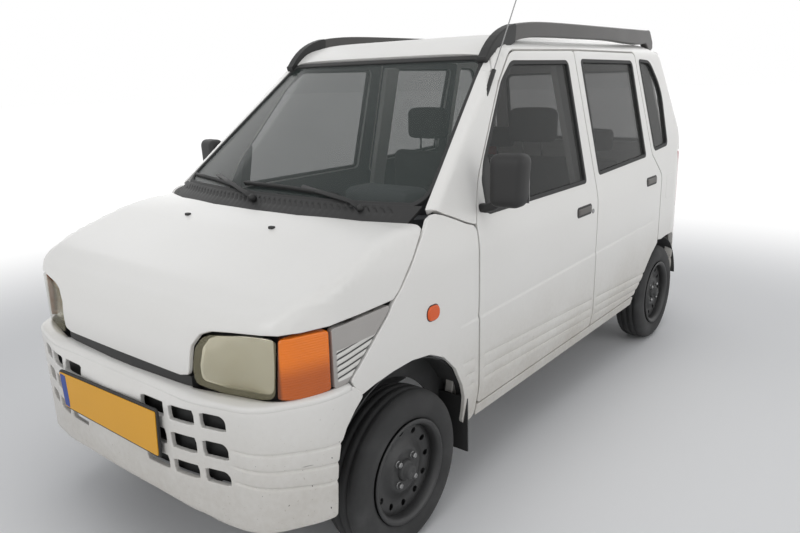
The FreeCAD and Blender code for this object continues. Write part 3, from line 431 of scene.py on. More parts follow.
def round_front(centre_x, centre_y, radius, end):
    """Flat (u, z) across the front (end -1) or the rear (end 1), where u is x.

    It goes round both corners to the sides."""

    def rays(u, v):
        past = np.abs(u) - centre_x
        turn = np.clip(past / radius, 0, math.pi / 2)
        beyond = np.maximum(past - radius * math.pi / 2, 0)
        origin = np.stack([np.clip(u, -centre_x, centre_x), centre_y - end * beyond, v], 1)
        return origin, np.stack([np.sign(u) * np.sin(turn), end * np.cos(turn), 0 * u], 1)

    def flat(points):
        x, y, z = np.array(points, float).T
        past, deep = np.abs(x) - centre_x, end * (y - centre_y)
        turned = np.arctan2(np.maximum(past, 0), np.maximum(deep, 1e-9)) * radius
        beyond = np.where(deep < 0, radius * math.pi / 2 - deep, turned)
        return np.stack([np.where(past < 0, x, np.sign(x) * (centre_x + beyond)), z], 1)

    return rays, flat


def over_nose(centre_x, centre_y, centre_z, radius, side_radius):
    """Flat (x, v) over the bonnet.

    v is how far behind the nose's curve a point lies, and negative down the front."""
    quarter = radius * math.pi / 2

    def rays(u, v):
        turn = np.clip(-v / radius, 0, math.pi / 2)
        down = np.maximum(-v - quarter, 0)
        roll = np.clip((np.abs(u) - centre_x) / side_radius, 0, None)
        level_x = np.clip(u, -centre_x, centre_x)
        origin = np.stack([level_x, centre_y + np.maximum(v, 0), centre_z - down], 1)
        return origin, np.stack([np.sign(u) * np.sin(roll), -np.sin(turn) * np.cos(roll),
                                 np.cos(turn) * np.cos(roll)], 1)

    def flat(points):
        x, y, z = np.array(points, float).T
        back_way, high = y - centre_y, z - centre_z
        turn = np.arctan2(np.maximum(-back_way, 0), np.maximum(high, 1e-9))
        v = np.where(back_way > 0, back_way, np.where(high > 0, -turn * radius, high - quarter))
        reach = np.where(back_way > 0, high, np.where(high > 0, np.hypot(back_way, high), -back_way))
        roll = np.arctan2(np.maximum(np.abs(x) - centre_x, 0), reach)
        return np.stack([np.where(roll > 0, np.sign(x) * (centre_x + roll * side_radius), x), v], 1)

    return rays, flat


# %% Panel maker
def make_mesh(name, points, faces, finishes, body="body", slot=None, replaces=(), face_finish=None,
              normals=None, mirror=False, smooth=True):
    """A mesh from points in millimetres and an array, or a list of arrays, of faces.

    A mirrored one is turned over."""
    faces = [np.asarray(f) for f in (faces if isinstance(faces, list) else [faces])]
    points = np.asarray(points, float) * (0.001 * np.array([-1.0, 1, 1]) if mirror else 0.001)
    corners = np.concatenate([(f[:, ::-1] if mirror else f).ravel() for f in faces])
    sizes = np.concatenate([np.full(len(f), f.shape[1]) for f in faces])
    mesh = bpy.data.meshes.new(name)
    mesh.vertices.add(len(points))
    mesh.vertices.foreach_set("co", points.astype(np.float32).ravel())
    mesh.loops.add(len(corners))
    mesh.loops.foreach_set("vertex_index", corners.astype(np.int32))
    mesh.polygons.add(len(sizes))
    mesh.polygons.foreach_set("loop_start", np.concatenate([[0], np.cumsum(sizes)[:-1]]).astype(np.int32))
    for one in finishes:
        mesh.materials.append(finish[one].material)
    if face_finish is not None:
        mesh.polygons.foreach_set("material_index", face_finish.astype(np.int32))
    mesh.polygons.foreach_set("use_smooth", np.full(len(sizes), smooth))
    mesh.update(calc_edges=True)
    if normals is not None:
        flipped = [(n[:, ::-1] * (-1, 1, 1) if mirror else n).reshape(-1, 3) for n in normals]
        mesh.normals_split_custom_set(np.concatenate(flipped))
    made = bpy.data.objects.new(name, mesh)
    bpy.context.scene.collection.objects.link(made)
    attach(made, body)
    if replaces:
        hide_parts(*replaces)
    return made


def flat_fill(loops, step, rows):
    """Triangles that fill the loops, with a grid of points inside.

    The first loop is the outline, and the others are holes."""
    low, high = loops[0].min(0), loops[0].max(0)
    grid = np.stack(np.meshgrid(np.arange(low[0], high[0], step), np.arange(low[1], high[1], step)),
                    -1).reshape(-1, 2)
    grid[:, 0] += np.where(np.arange(len(grid)) // len(np.arange(low[0], high[0], step)) % 2, step / 2, 0)
    rim = np.concatenate(loops)
    extra = rows[inside(rows, loops)] if len(rows) else np.zeros((0, 2))
    if len(extra):
        extra = extra[np.min(np.linalg.norm(extra[:, None] - rim[None], axis=2), 1) > 1.5]
    grid = grid[inside(grid, loops)]
    around = np.concatenate([rim, extra])
    near = np.concatenate([np.linalg.norm(part[:, None] - around[None], axis=2).min(1)
                           for part in np.array_split(grid, 12) if len(part)])
    points = np.concatenate([rim, extra, grid[near > step * 0.6]])
    edges, start = [], 0
    for loop in loops:
        count = len(loop)
        edges += [(start + i, start + (i + 1) % count) for i in range(count)]
        start += count
    found = geometry.delaunay_2d_cdt([Vector(p) for p in points], edges, [], 0, 1e-5, False)
    assert len(found[0]) == len(points), "the outline crosses itself"
    triangles = np.array([f for f in found[2]])
    return points, triangles[inside(points[triangles].mean(1), loops)]


def panel(name, surface, outline, holes=(), thickness=20.0, roll=3.0, step=16.0, lift=0.0, rows=(),
          finishes=("paint",), body="body", slot="paint_white", replaces=(), both=False):
    """A closed pressing: its face on the surface, rolled edges, a wall and an inner face.

    thickness is one number, or a function of the flat points."""
    loops = [filled(outline, step * 0.6)] + [filled(hole, step * 0.6) for hole in holes]
    for index, loop in enumerate(loops):
        area = (loop[:, 0] * np.roll(loop[:, 1], -1) - np.roll(loop[:, 0], -1) * loop[:, 1]).sum()
        loops[index] = loop if (area > 0) == (index == 0) else loop[::-1]
    tangents = [np.roll(loop, -1, 0) - np.roll(loop, 1, 0) for loop in loops]
    outward = np.concatenate([np.stack([t[:, 1], -t[:, 0]], 1) / np.linalg.norm(t, axis=1)[:, None]
                              for t in tangents])
    rim = np.concatenate(loops)
    cuts = np.cumsum([len(loop) for loop in loops])[:-1]
    inset = [loop - out * roll for loop, out in zip(loops, np.split(outward, cuts))]
    flat, triangles = flat_fill(inset, step, np.asarray(rows))
    count, total = len(rim), len(flat)
    turns = np.radians([30.0, 60.0, 90.0])
    rings = [flat[:count] + outward * roll * math.sin(t) for t in turns]
    every = np.concatenate([flat] + rings + [rim, flat])
    deep = thickness(every) if callable(thickness) else np.full(len(every), float(thickness))
    steps = [np.zeros(total)] + [np.full(count, roll * (1 - math.cos(t))) for t in turns]
    depth = np.concatenate(steps + [deep[-total - count:-total], deep[-total:]])
    here, normal, plain = surface.frame(every)
    points = here + plain * (lift - depth)[:, None]
    sideways = surface.points(rim + outward) - surface.points(rim)
    sideways /= np.linalg.norm(sideways, axis=1)[:, None]
    face_normal = normal[:total]
    shading = [face_normal[:count]] + [normal[:count] * math.cos(t) + sideways * math.sin(t)
                                       for t in turns] + [sideways]
    nxt, start = np.arange(count), 0
    for loop in loops:
        nxt[start:start + len(loop)] = start + (np.arange(len(loop)) + 1) % len(loop)
        start += len(loop)
    here_index = np.arange(count)
    bases = [0] + [total + k * count for k in range(4)]
    quads, quad_normals = [], []
    for k in range(4):
        quads.append(np.stack([bases[k] + here_index, bases[k + 1] + here_index, bases[k + 1] + nxt,
                               bases[k] + nxt], 1))
        a, b = (sideways, sideways) if k == 3 else (shading[k], shading[k + 1])
        quad_normals.append(np.stack([a, b, b[nxt], a[nxt]], 1))
    inner = triangles[:, ::-1].copy()
    base = bases[4] + count
    inner = np.where(inner < count, bases[4] + inner, base + inner)
    turned = np.cross(points[triangles[:, 1]] - points[triangles[:, 0]],
                      points[triangles[:, 2]] - points[triangles[:, 0]])
    if (turned * normal[triangles[:, 0]]).sum() < 0:
        triangles, inner = triangles[:, ::-1], inner[:, ::-1]
        quads = [q[:, ::-1] for q in quads]
        quad_normals = [n[:, ::-1] for n in quad_normals]
    back_normal = -normal[total + 3 * count + count:][triangles[:, ::-1]]
    faces = [triangles, np.concatenate(quads), inner]
    normals = [face_normal[triangles], np.concatenate(quad_normals), back_normal]
    which = np.concatenate([np.zeros(len(triangles) + len(quads[0]) * 4),
                            np.full(len(inner), len(finishes) - 1)])
    made = []
    for side, sign in SIDES if both else ((None, 1.0),):
        label = name if side is None else f"{name}_{side}"
        rides = body if side is None or body == "body" or body == "bonnet" else f"{body}_{side}"
        nodes = [n + side if side and n.endswith("_") else n
                 for n in replaces if sign > 0 or n.endswith("_")]
        made.append(make_mesh(label, points, faces, finishes, rides, slot, nodes, which, normals, sign < 0))
    return made


# %% [markdown]
# ## The body's outlines
# The real body is drawn from three views, and the CAD source's corner points make its form here.
# The nose and the bumper have forms of their own, because they stand a little proud of the cabin.

# %% Body forms
SCREEN_FOOT, SCREEN_TOP = np.array([0, -1000.0, 1078.0]), np.array([0, -357.0, 1575.0])
SCREEN_RADIUS = 3000.0
slope = (SCREEN_TOP - SCREEN_FOOT) / np.linalg.norm(SCREEN_TOP - SCREEN_FOOT)
slope_in = np.array([0, slope[2], -slope[1]])


def screen_sheet(points):
    """Distance outside the windscreen's wide cylinder, whose axis runs parallel to the screen's slope."""
    away = points - (SCREEN_FOOT + slope_in * SCREEN_RADIUS)
    return np.linalg.norm(away - (away @ slope)[:, None] * slope, axis=1) - SCREEN_RADIUS


SIDE_VIEW = [(-1500, 150), (-1600, 618), (-1000, 1078), (-357, 1575, 150), (-150, 1645, 300),
             (350, 1672, 1500), (1150, 1652, 400), (1430, 1585, 60), (1612, 1050, 400), (1645, 700, 200),
             (1645, 150)]
FRONT_VIEW = both_halves([(640, 150), (690, 420, 200), (695, 680, 200), (695, 930, 250), (679, 1010, 300),
                          (548, 1594, 70), (430, 1652, 260), (0, 1690)])
PLAN_VIEW = both_halves([(700, -1500), (700, 1400, 200), (650, 1590, 90), (500, 1640, 300), (0, 1660)])
NOSE_SIDE = [(-1605, 450), (-1603, 760, 150), (-1560, 885, 110), (-1440, 942, 260), (-1150, 1036, 600),
             (-1010, 1069), (-700, 1080), (-700, 450)]
NOSE_FRONT = both_halves([(693, 400), (693, 850, 60), (688, 970, 100), (662, 1058, 50), (0, 1092)])
NOSE_PLAN = both_halves([(693, -600), (693, -1340, 220), (628, -1515, 110), (335, -1592, 500), (0, -1606)])
BUMPER_SIDE = [(-1100, 298), (-1590, 298, 20), (-1650, 345, 50), (-1650, 628, 45), (-1606, 681, 22),
               (-1100, 681)]
BUMPER_PLAN = both_halves([(695, -1100), (695, -1400, 240), (590, -1572, 160), (330, -1636, 600),
                           (0, -1650)])
YZ, XZ, XY = (1, 2), (0, 2), (0, 1)
cabin = Form([(YZ, SIDE_VIEW), (XZ, FRONT_VIEW), (XY, PLAN_VIEW)], 16, screen_sheet)
nose = Form([(YZ, NOSE_SIDE), (XZ, NOSE_FRONT), (XY, NOSE_PLAN)], 24)
nose_sides = Form([(XZ, NOSE_FRONT), (XY, NOSE_PLAN)], 12)
cabin_sides = Form([(XZ, FRONT_VIEW), (XY, NOSE_PLAN)], 12)
bumper_form = Form([(YZ, BUMPER_SIDE), (XY, BUMPER_PLAN)], 10)

# %% [markdown]
# ## Nose: bonnet, lamps, corner trims and front wings
# The bonnet is a clamshell that rolls over the nose and the tops of the wings, so it is drawn flat over a
# curve that follows the nose. Lamps and trims fill the windows that bonnet, wing and bumper leave.

# %% Finishes of the nose
def plastic(name, colour, roughness, grain=0.00015, dust=0.25, scale=900.0):
    """Moulded plastic with a fine grain and a little dust in it."""
    f = Finish(name)
    cloud = f.noise(7.0, 4.0)
    dirty = (cloud - 0.35) * dust
    f.set(Base_Color=f.mix(dirty.step(0.0, 0.6), colour, tuple(c * 0.7 + 0.07 for c in colour[:3]) + (1,)),
          Roughness=cloud * 0.15 + roughness)
    return f.bump(f.noise(scale, 2.0), grain, 0.6)


def louvred(name):
    """Satin trim above; below, white slats 18 mm apart, and in the groove between each pair a dark line of
    painted shade.
    """
    f = Finish(name)
    x, y, z = f.axes()
    across = (z - (y + 1.28) * 0.13 - 0.700) * (1 / 0.018)
    away = (across - across.math("ROUND")).math("ABSOLUTE") * 0.018
    field = z.step(0.698, 0.702) * (1 - z.step(0.788, 0.792)) * y.step(-1.352, -1.347)
    # The near-black line in each groove between the slats is painted shade.
    slats_and_groove_shade = f.mix(away.step(0.0018, 0.0032), (0.03, 0.03, 0.03, 1), (0.66, 0.65, 0.62, 1))
    satin = f.mix(f.noise(5.0), grey(0.42, 1.04), grey(0.30, 1.06))
    return f.set(Base_Color=f.mix(field, satin, slats_and_groove_shade), Roughness=f.noise(7.0) * 0.15 + 0.32)


finish["grey_trim"] = louvred("grey_trim")
finish["black"] = plastic("black_plastic", grey(0.013), 0.5, dust=0.12)
finish["rubber"] = plastic("window_rubber", grey(0.018), 0.62, 0.0002)
finish["cabin_plastic"] = plastic("cabin_plastic", (0.085, 0.09, 0.095, 1), 0.6, 0.0002, scale=120.0)
finish["inner_white"] = body_paint("inner_enamel")


def lens(name, tint, roughness=0.06, haze=0.12):
    """A clear moulded lens: mostly see-through, a little hazy from weather."""
    f = Finish(name, IOR=1.45)
    cloud = f.noise(6.0, 3.0)
    f.set(Base_Color=f.mix(cloud, tint, tuple(c * 0.8 for c in tint[:3]) + (1,)),
          Roughness=cloud * 0.1 + roughness, Alpha=cloud * 0.12 + haze)
    return f


finish["lamp_lens"] = lens("lamp_lens", (0.46, 0.42, 0.27, 1), 0.05, 0.15)
finish["lamp_lens"].bump((finish["lamp_lens"].axes()[0] * 700.0).math("SINE"), 0.0006, 0.6)


def ribbed(name, shaded_colour, lit_colour, edge):
    """A coloured lens with fine level ribs, painted darker below as shade and lighter above as lit, and
    brown along its inner edge.
    """
    f = Finish(name, Coat_Weight=0.25, Roughness=0.22)
    x, y, z = f.axes()
    # Painted shade and light: the lens's lower part takes the shaded colour and its upper part the lit
    # colour.
    body = f.mix(z.step(0.735, 0.80) * 0.8 + f.noise(9.0, 1.0) * 0.2, shaded_colour, lit_colour)
    f.set(Base_Color=f.mix(x.math("ABSOLUTE").step(edge, edge + 0.007), (0.16, 0.035, 0.004, 1), body))
    return f.bump((z * 900.0).math("SINE"), 0.0004, 0.5)


finish["amber"] = ribbed("amber_lens", (0.46, 0.085, 0.001, 1), (0.88, 0.20, 0.001, 1), 0.619)
finish["red"] = ribbed("red_lens", (0.25, 0.004, 0.004, 1), (0.42, 0.008, 0.006, 1), 0.0)
bowl_finish = finish["reflector"] = Finish("lamp_reflector", Metallic=0.9)
bowl_finish.set(Base_Color=bowl_finish.mix(bowl_finish.noise(14.0), (0.88, 0.85, 0.72, 1),
                                           (0.66, 0.62, 0.48, 1)),
                Roughness=bowl_finish.noise(30.0) * 0.2 + 0.12)

# %% Bonnet
nose_rays, nose_flat = over_nose(420, -1240, 700, 330, 300)
bonnet_face = Surface(nose, nose_rays)
BONNET_EDGE = [(0, -1036, 1064), (224, -1030, 1062), (474, -992, 1060), (560, -958, 1059),
               (612, -937, 1058), (640, -926, 1055), (659, -925, 1046), (678, -978, 998), (683, -1006, 966),
               (684, -1034, 935), (685, -1073, 890), (686, -1106, 868), (686, -1250, 866),
               (679, -1366, 864), (652, -1446, 864), (622, -1496, 864), (583, -1522, 866),
               (491, -1545, 863), (425, -1557, 857), (386, -1565, 842), (356, -1576, 806),
               (348, -1583, 746), (342, -1586, 722), (306, -1589, 714), (0, -1604, 718)]


def dense(points):
    """The line through points in space with more points on it, at most 12 mm apart."""
    return filled(np.array(points, float), 12.0, closed=False)


def smooth_line(points, radius):
    """Corners softened by a small radius where the line has room for it.

    Points closer than 0.5 mm are merged."""
    points = np.asarray(points, float)
    points = points[np.linalg.norm(points - np.roll(points, 1, 0), axis=1) > 0.5]
    before, after = np.roll(points, 1, 0) - points, np.roll(points, -1, 0) - points
    reach = np.minimum(np.linalg.norm(before, axis=1), np.linalg.norm(after, axis=1))
    cosine = (before * after).sum(1) / (np.linalg.norm(before, axis=1) * np.linalg.norm(after, axis=1))
    half_angle = np.arccos(np.clip(cosine, -1, 1)) / 2
    soft = np.where(half_angle < 1.5, np.minimum(radius, 0.42 * reach * np.tan(half_angle)), 0)
    return rounded(np.column_stack([points, soft]))


half_edge = nose_flat(dense(BONNET_EDGE))
bonnet_outline = smooth_line(np.concatenate([half_edge, half_edge[::-1][1:-1] * (-1, 1)]), 200)
panel("bonnet_skin", bonnet_face, bonnet_outline, thickness=14, roll=4, step=22,
      finishes=("paint", "inner_white"), body="bonnet", replaces=("bonnet",))

# %% Front wings
class Between(Surface):
    """A surface between two forms: share(flat) is 0 on the first and 1 on the second."""

    def __init__(self, first, second, share, rays, relief=None):
        super().__init__(first, rays, relief)
        self.second, self.share = second, share

    def smooth_points(self, flat):
        origin, direction = self.rays(flat[:, 0], flat[:, 1])
        mixed = self.share(flat)[:, None]
        return self.form.skin(origin, direction) * (1 - mixed) + self.second.skin(origin, direction) * mixed


def smoothstep(value, low, high):
    t = np.clip((value - low) / (high - low), 0, 1)
    return t * t * (3 - 2 * t)


LINES = ((532, 480), (483, 437), (441, 396))


def crease_height(y):
    """Height of the crease above the pressed lines."""
    return 678 + (y + 779) * 0.018


def groove_height(y, line):
    """Height of one of the three pressed lines along the side, falling evenly from the wing to the
    doors' rear edge."""
    front, rear = LINES[line]
    return front + (rear - front) * (y + 644) / 954.0


def side_relief(flat):
    """Three pressed lines that are sunk 4.2 mm, and a soft hollow above them that ends in the crease."""
    y, z = flat.T
    start = np.array([-744.0, -725.0, -707.0])
    total = np.zeros(len(flat))
    for line in range(3):
        away = z - groove_height(y, line)
        ends = smoothstep(y, start[line] - 6, start[line] + 6) * (1 - smoothstep(y, 1010, 1022))
        seam = smoothstep(np.abs(y + 643), 26, 34) * smoothstep(np.abs(y - 344), 22, 30)
        total -= 4.2 * np.exp(-(away / 4.5) ** 2) * ends * seam
    crease = crease_height(y)
    along = smoothstep(y, -800, -700) * (1 - smoothstep(y, 1040, 1120))
    hollow = np.exp(-np.maximum(z - crease, 0) / 42.0) * smoothstep(z, crease - 7, crease + 3)
    return total - 4.0 * hollow * along


def side_rows(y0, y1):
    """Rows of points that follow the pressed lines and the crease, so that the mesh can show them."""
    y = np.arange(y0, y1, 15.0)
    rows = [np.stack([y, groove_height(y, line) + off], 1)
            for line in range(3) for off in (-7, -4, -2, 0, 2, 4, 7)]
    rows += [np.stack([y, crease_height(y) + off], 1) for off in (-9, -5, -2, 1, 5, 12)]
    return np.concatenate(rows)


wing = Between(nose_sides, cabin_sides, lambda flat: smoothstep(flat[:, 0], -1120, -960), from_side,
               side_relief)
WING = [(-646, 293), (-646, 1004), (-703, 1022), (-759, 1045), (-818, 1068), (-866, 1082), (-902, 1070),
        (-917, 1050), (-973, 999), (-1002, 967), (-1029, 936), (-1071, 890), (-1112, 858), (-1135, 829),
        (-1188, 784), (-1258, 724), (-1306, 686), (-1292, 663), (-1276, 636), (-1262, 629)]
WING_ARCH = [(-1205, 640), (-1119, 649), (-1028, 652), (-933, 638), (-857, 602), (-791, 538), (-750, 462),
             (-735, 410), (-728, 350), (-726, 293)]
wing_outline = smooth_line(WING + WING_ARCH, 70)
panel("front_wing", wing, wing_outline, thickness=14, roll=3, step=15, rows=side_rows(-800, -650),
      both=True, replaces=("front_fenders",))
print("bonnet and wings made")

# %% [markdown]
# ## Doors, pillars and the body side
# A door is one pressing, deep below the belt line and thin round the window, with three pressed lines.
# The windscreen pillar turns a corner of its own, so its flat map runs up it and wraps round to the screen.

# %% Doors
def door_depth(flat):
    """56 mm below the belt line and 26 mm above it, eased over 30 mm."""
    return 26 + 30 * (1 - smoothstep(flat[:, 1], 985, 1018))


side_face = Surface(cabin, from_side, side_relief)
REAR_ARCH = [(893, 293), (897, 336), (930, 372), (985, 425), (1034, 470), (1105, 526), (1184, 571),
             (1240, 584), (1304, 589), (1400, 589), (1449, 583), (1490, 560), (1517, 522), (1530, 480)]
FRONT_DOOR = [(-640, 345, 20), (-640, 1010, 60), (-585, 1145, 300), (-330, 1462, 300), (-205, 1578, 110),
              (340.5, 1583, 5), (340.5, 345, 5)]
FRONT_WINDOW = [(-565, 1030, 20), (-562, 1165, 200), (-312, 1470, 200), (-215, 1540, 80), (266, 1540, 25),
                (248, 1030, 20)]
REAR_DOOR = [(903, 345, 3), (930, 376, 30), (985, 429, 60), (1034, 475, 60), (1105, 531, 60),
             (1180, 574, 8), (1180, 950, 60), (1082, 1065, 40), (1052, 1576, 30), (347.5, 1583, 5),
             (347.5, 345, 5)]
REAR_WINDOW = [(390, 1046, 15), (398, 1545, 20), (1000, 1537, 30), (990, 1064, 20)]
panel("door_front_skin", side_face, rounded(FRONT_DOOR), [rounded(FRONT_WINDOW)], door_depth, 3, 17,
      rows=side_rows(-630, 332), finishes=("paint", "cabin_plastic"), body="door_front",
      replaces=("door_front_",), both=True)
panel("door_rear_skin", side_face, rounded(REAR_DOOR), [rounded(REAR_WINDOW)], door_depth, 3, 17,
      rows=side_rows(356, 1172), finishes=("paint", "cabin_plastic"), body="door_rear",
      replaces=("door_rear_",), both=True)

# %% Points on the cabin
def side_points(flat):
    """Points (y, z) on the left side."""
    return cabin.skin(*from_side(*np.array(flat, float).T))


def front_points(flat):
    """Points (x, z) on the front."""
    x, z = np.array(flat, float).T
    return cabin.skin(np.stack([x, 0 * x - 100, z], 1), np.tile((0.0, -1, 0), (len(x), 1)))


def back_points(flat):
    """Points (x, z) on the back."""
    x, z = np.array(flat, float).T
    return cabin.skin(np.stack([x, 0 * x + 1000, z], 1), np.tile((0.0, 1, 0), (len(x), 1)))


def top_points(flat):
    """Points (x, y) on the roof."""
    x, y = np.array(flat, float).T
    return cabin.skin(np.stack([x, y, 0 * x + 900], 1), np.tile((0.0, 0, 1), (len(x), 1)))


# %% Windscreen pillars
across, screen_out = np.array([1.0, 0, 0]), -slope_in
EDGE_FOOT, EDGE_TOP = np.array([658.8, -853, 1100]), np.array([573.6, -390, 1480])
PILLAR_R, PILLAR_TOP = 50.0, 636.0
edge_run = (EDGE_TOP - EDGE_FOOT) / ((EDGE_TOP - EDGE_FOOT) @ slope)
pillar_start = EDGE_FOOT - 50 * across - 50 * screen_out
QUARTER_TURN = PILLAR_R * math.pi / 4


def pillar_rays(w, s):
    """Flat (w, s): s runs up the pillar, and w wraps round it from the side (negative) to the screen
    (positive)."""
    turn = np.clip((w + QUARTER_TURN) / PILLAR_R, 0, math.pi / 2)[:, None]
    deep, inward = np.maximum(-w - QUARTER_TURN, 0)[:, None], np.maximum(w - QUARTER_TURN, 0)[:, None]
    origin = pillar_start + edge_run * s[:, None] - screen_out * deep - across * inward
    return origin, across * np.cos(turn) + screen_out * np.sin(turn)


def pillar_flat(points):
    away = np.asarray(points, float) - pillar_start
    s = away @ slope
    away = away - edge_run * s[:, None]
    a, b = away @ across, away @ screen_out
    turned = np.arctan2(b, a) * PILLAR_R - QUARTER_TURN
    return np.stack([np.where(b < 0, -QUARTER_TURN + b, np.where(a < 0, QUARTER_TURN - a, turned)), s], 1)


SCREEN_SIDE = [(632, 1093), (600, 1212), (560, 1355), (524, 1484)]
door_edge = rounded([(-646, 1008, 0), (-592, 1147, 300), (-336, 1467, 0)], closed=False)
pillar_front, pillar_door = pillar_flat(front_points(SCREEN_SIDE)), pillar_flat(side_points(door_edge))
pillar_w = np.linspace(pillar_door[-1, 0], pillar_front[-1, 0], 31)
pillar_top = np.stack([pillar_w, 0 * pillar_w + PILLAR_TOP], 1)
pillar_foot = pillar_flat(side_points([(-872, 1091), (-822, 1076), (-763, 1053), (-706, 1029)]))
pillar_line = np.concatenate([pillar_door[:-1], pillar_top, pillar_front[::-1], pillar_foot])
panel("windscreen_pillar", Surface(cabin, pillar_rays), smooth_line(pillar_line, 4), thickness=22, roll=1.5,
      step=14, both=True)
top_end = cabin.skin(*pillar_rays(*pillar_top.T))
split = int(np.argmin(np.abs(pillar_w)))
blend_way = np.linspace(0, 1, 9)[1:, None]
ear_line = top_points(top_end[split, :2] * (1 - blend_way) + np.array([503.0, -290.0]) * blend_way)

# %% Sill, rear quarter and roof edge
corner_rays, corner_flat = round_corner(345, 1400, 350, 1)
tail_corner = Surface(cabin, corner_rays)
SILL = [(-639, 293, 8), (-639, 339, 8), (898, 339, 5), (891, 293, 5)]
panel("sill", Surface(cabin, from_side), rounded(SILL), thickness=40, roll=4, step=15, both=True)
TAIL_LAMP_Y = 1512.0
roof_y = np.linspace(1425, -290, 45)
roof_edge = top_points(np.stack([0 * roof_y + 503, roof_y], 1))[:, 1:]
DOOR_HOLE = [(-336, 1467, 0), (-209, 1584, 110), (345, 1590, 0), (1057, 1583, 30), (1088, 1068, 40),
             (1187, 954, 60), (1187, 590, 0)]
upper = np.concatenate([rounded(DOOR_HOLE, closed=False), REAR_ARCH[7:13], [(1526, 494)],
                        corner_flat(back_points([(568, 494), (568, 712)])),
                        [(TAIL_LAMP_Y, 712), (TAIL_LAMP_Y - 14, 1048)],
                        corner_flat(back_points([(568, 1048), (568, 1070), (534, 1322), (503, 1572)])),
                        roof_edge, ear_line[-2::-1, 1:], top_end[split:3:-1, 1:]])
QUARTER_WINDOW = [(1122, 1080, 25), (1100, 1545, 20), (1255, 1537, 90), (1368, 1390, 200), (1335, 1092, 40)]
panel("quarter", tail_corner, smooth_line(upper, 5), [rounded(QUARTER_WINDOW)], 24, 1.5, 20, both=True,
      replaces=("body_sides",))

# %% Roof and tailgate
def from_top(u, v):
    zero = np.zeros_like(u)
    return np.stack([u, v, zero + 900], 1), np.stack([zero, zero, zero + 1], 1)


def from_rear(u, v):
    zero = np.zeros_like(u)
    return np.stack([u, zero + 900, v], 1), np.stack([zero, zero + 1, zero], 1)


def roof_relief(flat):
    """Two shallow drip channels beside the rails."""
    return -3.0 * np.exp(-((np.abs(flat[:, 0]) - 462) / 9.0) ** 2) * smoothstep(flat[:, 1], -200, -120)


xs = np.linspace(488, -488, 41)
front_line = front_points(np.stack([xs, 1574 - 10 * (np.abs(xs) / 488) ** 8], 1))[:, :2]
rear_line = back_points(np.stack([np.linspace(503, -503, 41), np.full(41, 1574.0)], 1))[:, :2]
ear = np.concatenate([[(503, -290)], ear_line[-2::-1, :2], top_end[split + 2:, :2],
                      front_points([(514, 1537), (502, 1555)])[:, :2]])
roof_line = np.concatenate([front_line, ear[::-1] * (-1, 1), rear_line[::-1], ear])
panel("roof_skin", Surface(cabin, from_top, roof_relief), smooth_line(roof_line, 4), thickness=20, roll=1.5,
      step=26, replaces=("roof",))


def gate_depth(flat):
    """40 mm below the belt line and 26 mm above it."""
    return 26 + 14 * (1 - smoothstep(flat[:, 1], 985, 1018))


def gate_relief(flat):
    """A shallow pressed field for the number plate and a crease below the window."""
    x, z = np.abs(flat[:, 0]), flat[:, 1]
    field = (1 - smoothstep(x, 285, 300)) * smoothstep(z, 535, 548) * (1 - smoothstep(z, 690, 704))
    return -5.0 * field - 3.0 * np.exp(-((z - 1040) / 7.0) ** 2)


TAILGATE = [(-560, 500, 40), (560, 500, 40), (560, 1060, 200), (492, 1566, 60), (-492, 1566, 60),
            (-560, 1060, 200)]
REAR_GLASS = [(-470, 1085, 50), (470, 1085, 50), (425, 1500, 60), (-425, 1500, 60)]
gate_rows = np.concatenate([np.stack([np.linspace(-540, 540, 60), 0 * np.arange(60) + z], 1)
                            for z in (536, 542, 548, 690, 697, 704, 1032, 1040, 1048)])
panel("tailgate_skin", Surface(cabin, from_rear, gate_relief), rounded(TAILGATE), [rounded(REAR_GLASS)],
      gate_depth, 4, 22, rows=gate_rows, body="tailgate", replaces=("tailgate",))

# %% Rear bumper and tail lamps
rear_rays, rear_flat = round_front(400, 1380, 250, 1)
behind_arch = rear_flat(side_points([(1566, 288), (1560, 330), (1546, 400), (1538, 460), (1530, 488)]))
bumper_back = np.concatenate([behind_arch, behind_arch[::-1] * (-1, 1)])


def bumper_lines(flat):
    """A long pressed step across the rear bumper."""
    return -6.0 * np.exp(-((flat[:, 1] - 400) / 9.0) ** 2)


panel("rear_bumper_skin", Surface(cabin, rear_rays, bumper_lines), smooth_line(bumper_back, 25),
      thickness=40, roll=5, step=20, finishes=("bumper",), replaces=("rear_bumper",))
LAMP = np.concatenate([corner_flat(back_points([(574, 718), (574, 860), (574, 1040)])),
                       [(TAIL_LAMP_Y - 8, 1042), (TAIL_LAMP_Y + 6, 718)]])
panel("tail_lamp", tail_corner, smooth_line(LAMP, 16), thickness=22, roll=5, step=12, finishes=("red",),
      slot="red_lens", both=True, replaces=("tail_lamps",))
print("doors, sides, roof and tail made")

# %% [markdown]
# ## Front bumper and lamps
# The bumper stands proud of the nose and carries three rows of slots and three grooves round each corner.
# Behind the clear lens a pale bowl catches the light, and the amber lens beside it turns the corner.

# %% Bumper
bumper_rays, bumper_flat = round_front(300, -1340, 280, -1)
LINE_ENDS = (((509, -1592, 547), (694, -1357, 523)), ((506, -1593, 500), (692, -1367, 468)),
             ((503, -1593, 454), (692, -1371, 413)))
bumper_grooves = [bumper_flat(ends) for ends in LINE_ENDS]


def bumper_relief(flat):
    """Each groove is 5 mm deep along a straight flat line, and fades in beside the slots."""
    u, z = np.abs(flat[:, 0]), flat[:, 1]
    total = np.zeros(len(flat))
    for (u0, z0), (u1, z1) in bumper_grooves:
        away = z - (z0 + (z1 - z0) * (u - u0) / (u1 - u0))
        total -= 5.0 * np.exp(-(away / 4.0) ** 2) * smoothstep(u, u0 - 6, u0 + 14)
    return total


